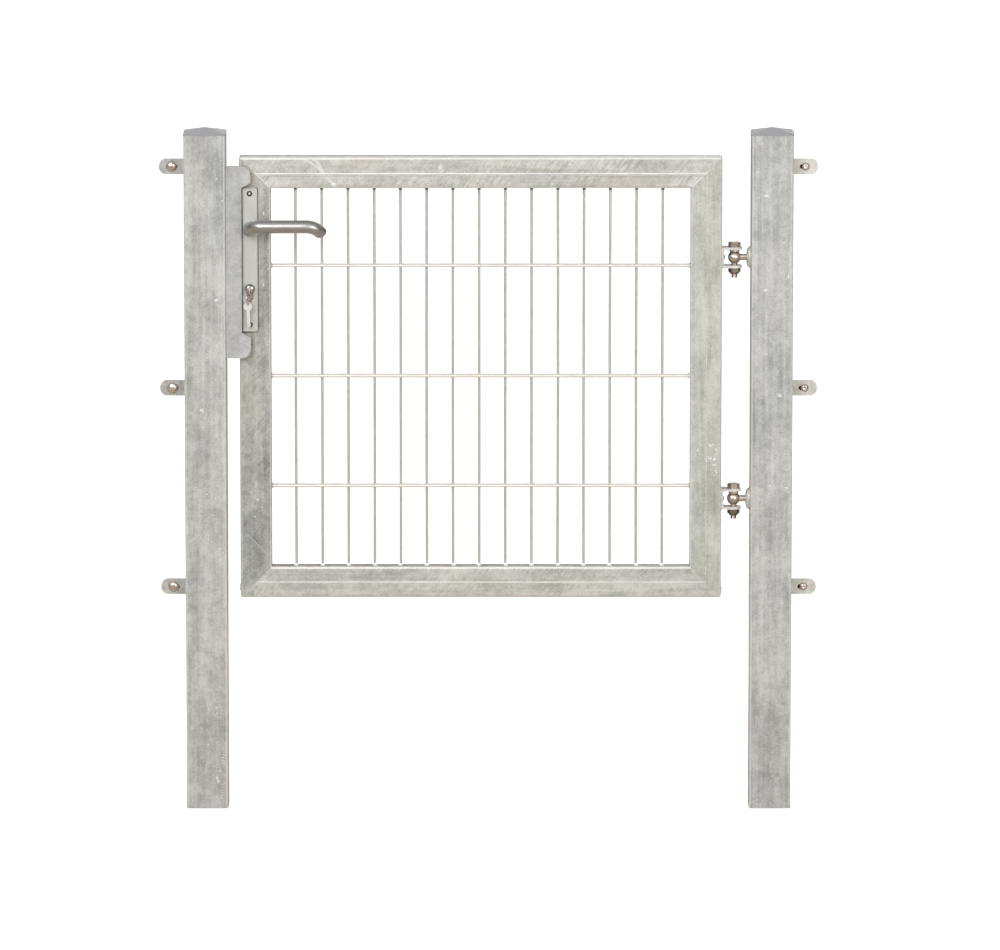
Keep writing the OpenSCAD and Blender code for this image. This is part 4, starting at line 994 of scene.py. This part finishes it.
def zinc_drips():
    """Drops and runs of zinc that set on the faces and edges as the gate was lifted from the bath."""
    bm = bmesh.new()
    top = leaf_hi.z
    for x, y, r, h in ((-0.125, -0.010, 3.2, 3.4), (-0.1165, -0.006, 2.4, 2.2),
            (-0.133, -0.013, 1.8, 1.3), (-0.905, -0.012, 1.8, 0.9), (-0.62, 0.010, 1.6, 0.8)):
        blob(bm, Vector((x, y, top)), (r, r * 0.8, h))
    for x, z, r in ((leaf_lo.x, 0.424, 2.2), (leaf_lo.x, 0.4305, 1.4), (leaf_hi.x, 0.425, 2.1),
            (leaf_hi.x, 0.418, 1.3)):
        blob(bm, Vector((x, -0.012, z)), (1.8, r, 2.0 * r))
    flat_drops(bm, leaf_lo.y, ((-1.0027, 1.2431, 4, 3), (-0.9435, 1.2067, 3, 3), (-0.931, 1.242, 3, 3),
        (-0.9165, 1.2435, 3, 3), (-0.9683, 1.1494, 3, 7), (-0.9691, 1.0118, 2.5, 8),
        (-0.9848, 0.6258, 2, 14), (-0.9819, 0.5966, 4, 4), (-0.9741, 0.583, 3, 3),
        (-0.9874, 0.5639, 3, 4), (-0.98, 1.236, 3.2, 4), (-0.5, 0.428, 2.8, 3), (-0.1, 1.18, 2, 3),
        (-0.117, 0.77, 2, 6), (-0.093, 0.6, 3, 3)))
    spatter(bm, leaf_lo.y, ((-0.1122, 0.7022, 8, 5, 15), (-0.1160, 0.6755, 9, 6, 16),
        (-0.1046, 0.688, 2, 8, 5), (-0.1060, 0.652, 3, 6, 4), (-0.141, 0.689, 4, 10, 3),
        (-0.110, 0.664, 5, 3, 4)), Random(29))
    finish_piece("leaf_drips", bm, bright_zinc, "galvanised_steel", smooth=80)
    bm = bmesh.new()
    face = leaf_lo.y + 0.1 * MM
    runs = [((-0.8935, 1.2540), (-0.8772, 1.2456), (-0.8625, 1.2351), (-0.8476, 1.2169), (-0.8348, 1.2043))]
    runs += [((-0.8772, 1.2530), (-0.8685, 1.2500), (-0.8620, 1.2420), (-0.8540, 1.2290))]
    x, z = runs[0][-1]
    blob(bm, Vector((x, leaf_lo.y, z)), (4.0, 0.4, 4.0))
    chance = Random(17)

    def strokes(count, foot, step, reach):
        """Short slanting strokes of uneven length, one beside the other."""
        for k in range(count):
            x = foot[0] + step[0] * (k + 0.5 * chance.random())
            z = foot[1] + step[1] * (k + 0.5 * chance.random())
            share = 0.45 + 0.55 * chance.random()
            yield (x, z), (x + reach[0] * share, z + reach[1] * share)

    fine = list(strokes(6, (-0.9835, 1.1450), (0.0008, 0.0085), (0.0110, 0.0120)))
    fine += strokes(13, (-0.5600, 1.2330), (0.0098, 0.0003), (0.0125, 0.0175))
    fine += strokes(6, (-0.7300, 1.2380), (0.0160, 0.0005), (0.0090, 0.0110))
    fine += [((-1.0015, 0.5310), (-0.9600, 0.4870))]
    for k, path in enumerate(runs):
        for side in (-1.9, 0.0, 1.7):
            points = [Vector((x + side * MM, face, z + side * 0.6 * MM)) for x, z in path]
            bead(bm, points, (1.25 if side == 0.0 else 0.8) * MM, 300 + k, 0.16, pitch=2.2)
    for k, path in enumerate(fine):
        points = [Vector((x, face, z)) for x, z in path]
        bead(bm, points, 0.42 * MM, 320 + k, 0.4, pitch=4.0)
    finish_piece("zinc_runs", bm, bright_zinc, "galvanised_steel", smooth=80)
    bm = bmesh.new()
    flat_drops(bm, lock_post_lo.y, ((-1.0572, 1.2181, 3.4, 3.4), (-1.0458, 1.1754, 3.4, 4),
        (-1.0584, 0.985, 9, 5), (-1.0965, 1.2943, 2.5, 2), (-1.0881, 0.773, 8, 4), (-1.0786, 0.611, 3, 3),
        (-1.0622, 0.6029, 3, 3), (-0.0283, 1.2307, 5, 3), (-0.0121, 1.1844, 9, 5), (0.0216, 1.0954, 4, 4),
        (0.0311, 1.0307, 3, 9), (-0.0127, 1.004, 8, 5), (-0.0031, 0.6269, 4, 4), (0.0292, 0.623, 5, 4),
        (-0.0279, 0.4345, 3, 4), (-1.0767, 0.1928, 3, 4), (-1.0622, 0.1964, 4, 2.5),
        (-1.0609, 0.1851, 2.5, 4), (-1.0786, 0.124, 3, 4), (-1.0610, 0.058, 5, 6), (-1.0590, 0.052, 6, 7),
        (-1.0560, 0.0726, 3, 6)))
    for k in range(10):
        z = (0.018 + 0.0055 * k) if k < 6 else (0.056 + 0.0055 * k)
        way = 1 if k < 6 else -1
        start = Vector((-1.0570 + 0.0006 * k, lock_post_lo.y - 0.05 * MM, z))
        bead(bm, [start + Vector((x, 0, way * z)) * MM for x, z in ((0, 0), (5, 1.5), (8, 4))],
            0.55 * MM, 500 + k, 0.4)
    finish_piece("post_drops", bm, bright_zinc, "galvanised_steel", body="posts", smooth=80)


def wire_end_marks():
    """Dark blobs at the uprights' upper ends, where they are welded under the top rail: the rail's painted
    shadow.
    """
    bm = bmesh.new()
    under_rail = leaf_hi.z - tube
    for x in upright_places():
        blob(bm, Vector((x, 0, under_rail - 1.2 * MM)), (3.6, 3.6, 5.0))
    finish_piece("wire_end_marks", bm, burnt_zinc, "mesh_wire", smooth=60)


mesh_wires()
wire_end_marks()
smooth_lever()
hinge_fasteners()
fence_screws()
small_screws()
cylinder_plugs()
keys()
tube_seams()
frame_welds()
zinc_drips()


# ---- floor, backdrop and light ----

def floor():
    made, t, shader = new_material("pale floor")
    t.nodes.remove(shader)
    surface = t.nodes["Material Output"]
    place = add(t, "TexCoord").outputs["Object"]
    grain = noise(t, place, 40.0, 4.0)
    tone = mix(t, grain, (0.80, 0.80, 0.80, 1), (0.84, 0.84, 0.84, 1))
    diffuse = add(t, "BsdfDiffuse", {"Color": tone})
    warm = add(t, "BsdfDiffuse", {"Color": (0.46, 0.41, 0.35, 1)})
    away = add(t, "VectorMath", {0: place, 1: (look_at.x, 0.0, 0.0)}, operation="DISTANCE")
    far = spread(t, away.outputs["Value"], 1.0, 2.6)
    glow = spread(t, away.outputs["Value"], 0.6, 2.2, 0.5, 1.2)
    lift = add(t, "Emission", {"Color": (1, 1, 1, 1), "Strength": glow})
    near_light = add(t, "AddShader", {0: diffuse.outputs[0], 1: lift.outputs[0]})
    seen = add(t, "MixShader", {0: far, 1: near_light.outputs[0], 2: lift.outputs[0]})
    ray = add(t, "LightPath")
    shown = add(t, "MixShader", {0: ray.outputs["Is Camera Ray"], 1: warm.outputs[0], 2: seen.outputs[0]})
    t.links.new(shown.outputs[0], surface.inputs["Surface"])
    sheet = bmesh.new()
    bmesh.ops.create_circle(sheet, cap_ends=True, segments=64, radius=60.0)
    mesh = bpy.data.meshes.new("floor")
    sheet.to_mesh(mesh)
    sheet.free()
    mesh.materials.append(made)
    thing = new_object("floor", mesh)
    thing.location.z = -0.5 * MM    # the posts' feet don't share its plane


def surroundings():
    """White behind the object; for its light and reflections a bright sky over a darker, warm horizon."""
    world = bpy.data.worlds.new("studio")
    scene.world = world
    world.use_nodes = True
    t = world.node_tree
    t.nodes.clear()
    ray = add(t, "LightPath")
    place = add(t, "TexCoord").outputs["Generated"]
    facing = add(t, "VectorMath", {0: place, 1: (-0.1, -0.82, 0.56)}, operation="DOT_PRODUCT")
    ramp = add(t, "ValToRGB", {"Fac": spread(t, facing.outputs["Value"], 0.0, 0.95)})
    ramp.color_ramp.elements[0].color = (0.17, 0.15, 0.14, 1)
    ramp.color_ramp.elements[1].color = (0.97, 0.98, 1.0, 1)
    lit = add(t, "Background", {"Color": ramp.outputs[0], "Strength": 0.66})
    white = add(t, "Background", {"Color": (1, 1, 1, 1), "Strength": 1.05})
    both = add(t, "MixShader", {0: ray.outputs["Is Camera Ray"], 1: lit.outputs[0], 2: white.outputs[0]})
    add(t, "OutputWorld", {"Surface": both.outputs[0]})


def soft_light(name, where, size, watts, colour=(1, 1, 1), mirrored=True):
    """An area light aimed at the gate; metal doesn't mirror it where mirrored is False."""
    data = bpy.data.lights.new(name, "AREA")
    data.shape = "RECTANGLE"
    data.size, data.size_y = size
    data.energy = watts
    data.color = colour
    thing = new_object(name, data)
    thing.visible_glossy = mirrored
    thing.location = where
    thing.rotation_mode = "QUATERNION"
    thing.rotation_quaternion = (Vector((look_at.x, 0, 0.6)) - Vector(where)).to_track_quat("-Z", "Y")


floor()
surroundings()
soft_light("key light", (-2.6, -5.0, 3.4), (2.4, 2.4), 138.0, (1.0, 0.99, 0.97))
soft_light("fill light", (2.2, -5.0, 2.0), (2.4, 2.4), 84.0, (0.97, 0.98, 1.0))
soft_light("back light", (-0.5, 4.5, 3.2), (4.0, 2.5), 200.0, mirrored=False)
soft_light("back glint", (0.8, 4.0, 2.2), (2.0, 1.5), 14.0)
soft_light("left light", (-5.5, 2.2, 2.4), (2.5, 2.5), 75.0, mirrored=False)
soft_light("right light", (4.5, 2.2, 2.4), (2.5, 2.5), 75.0, mirrored=False)
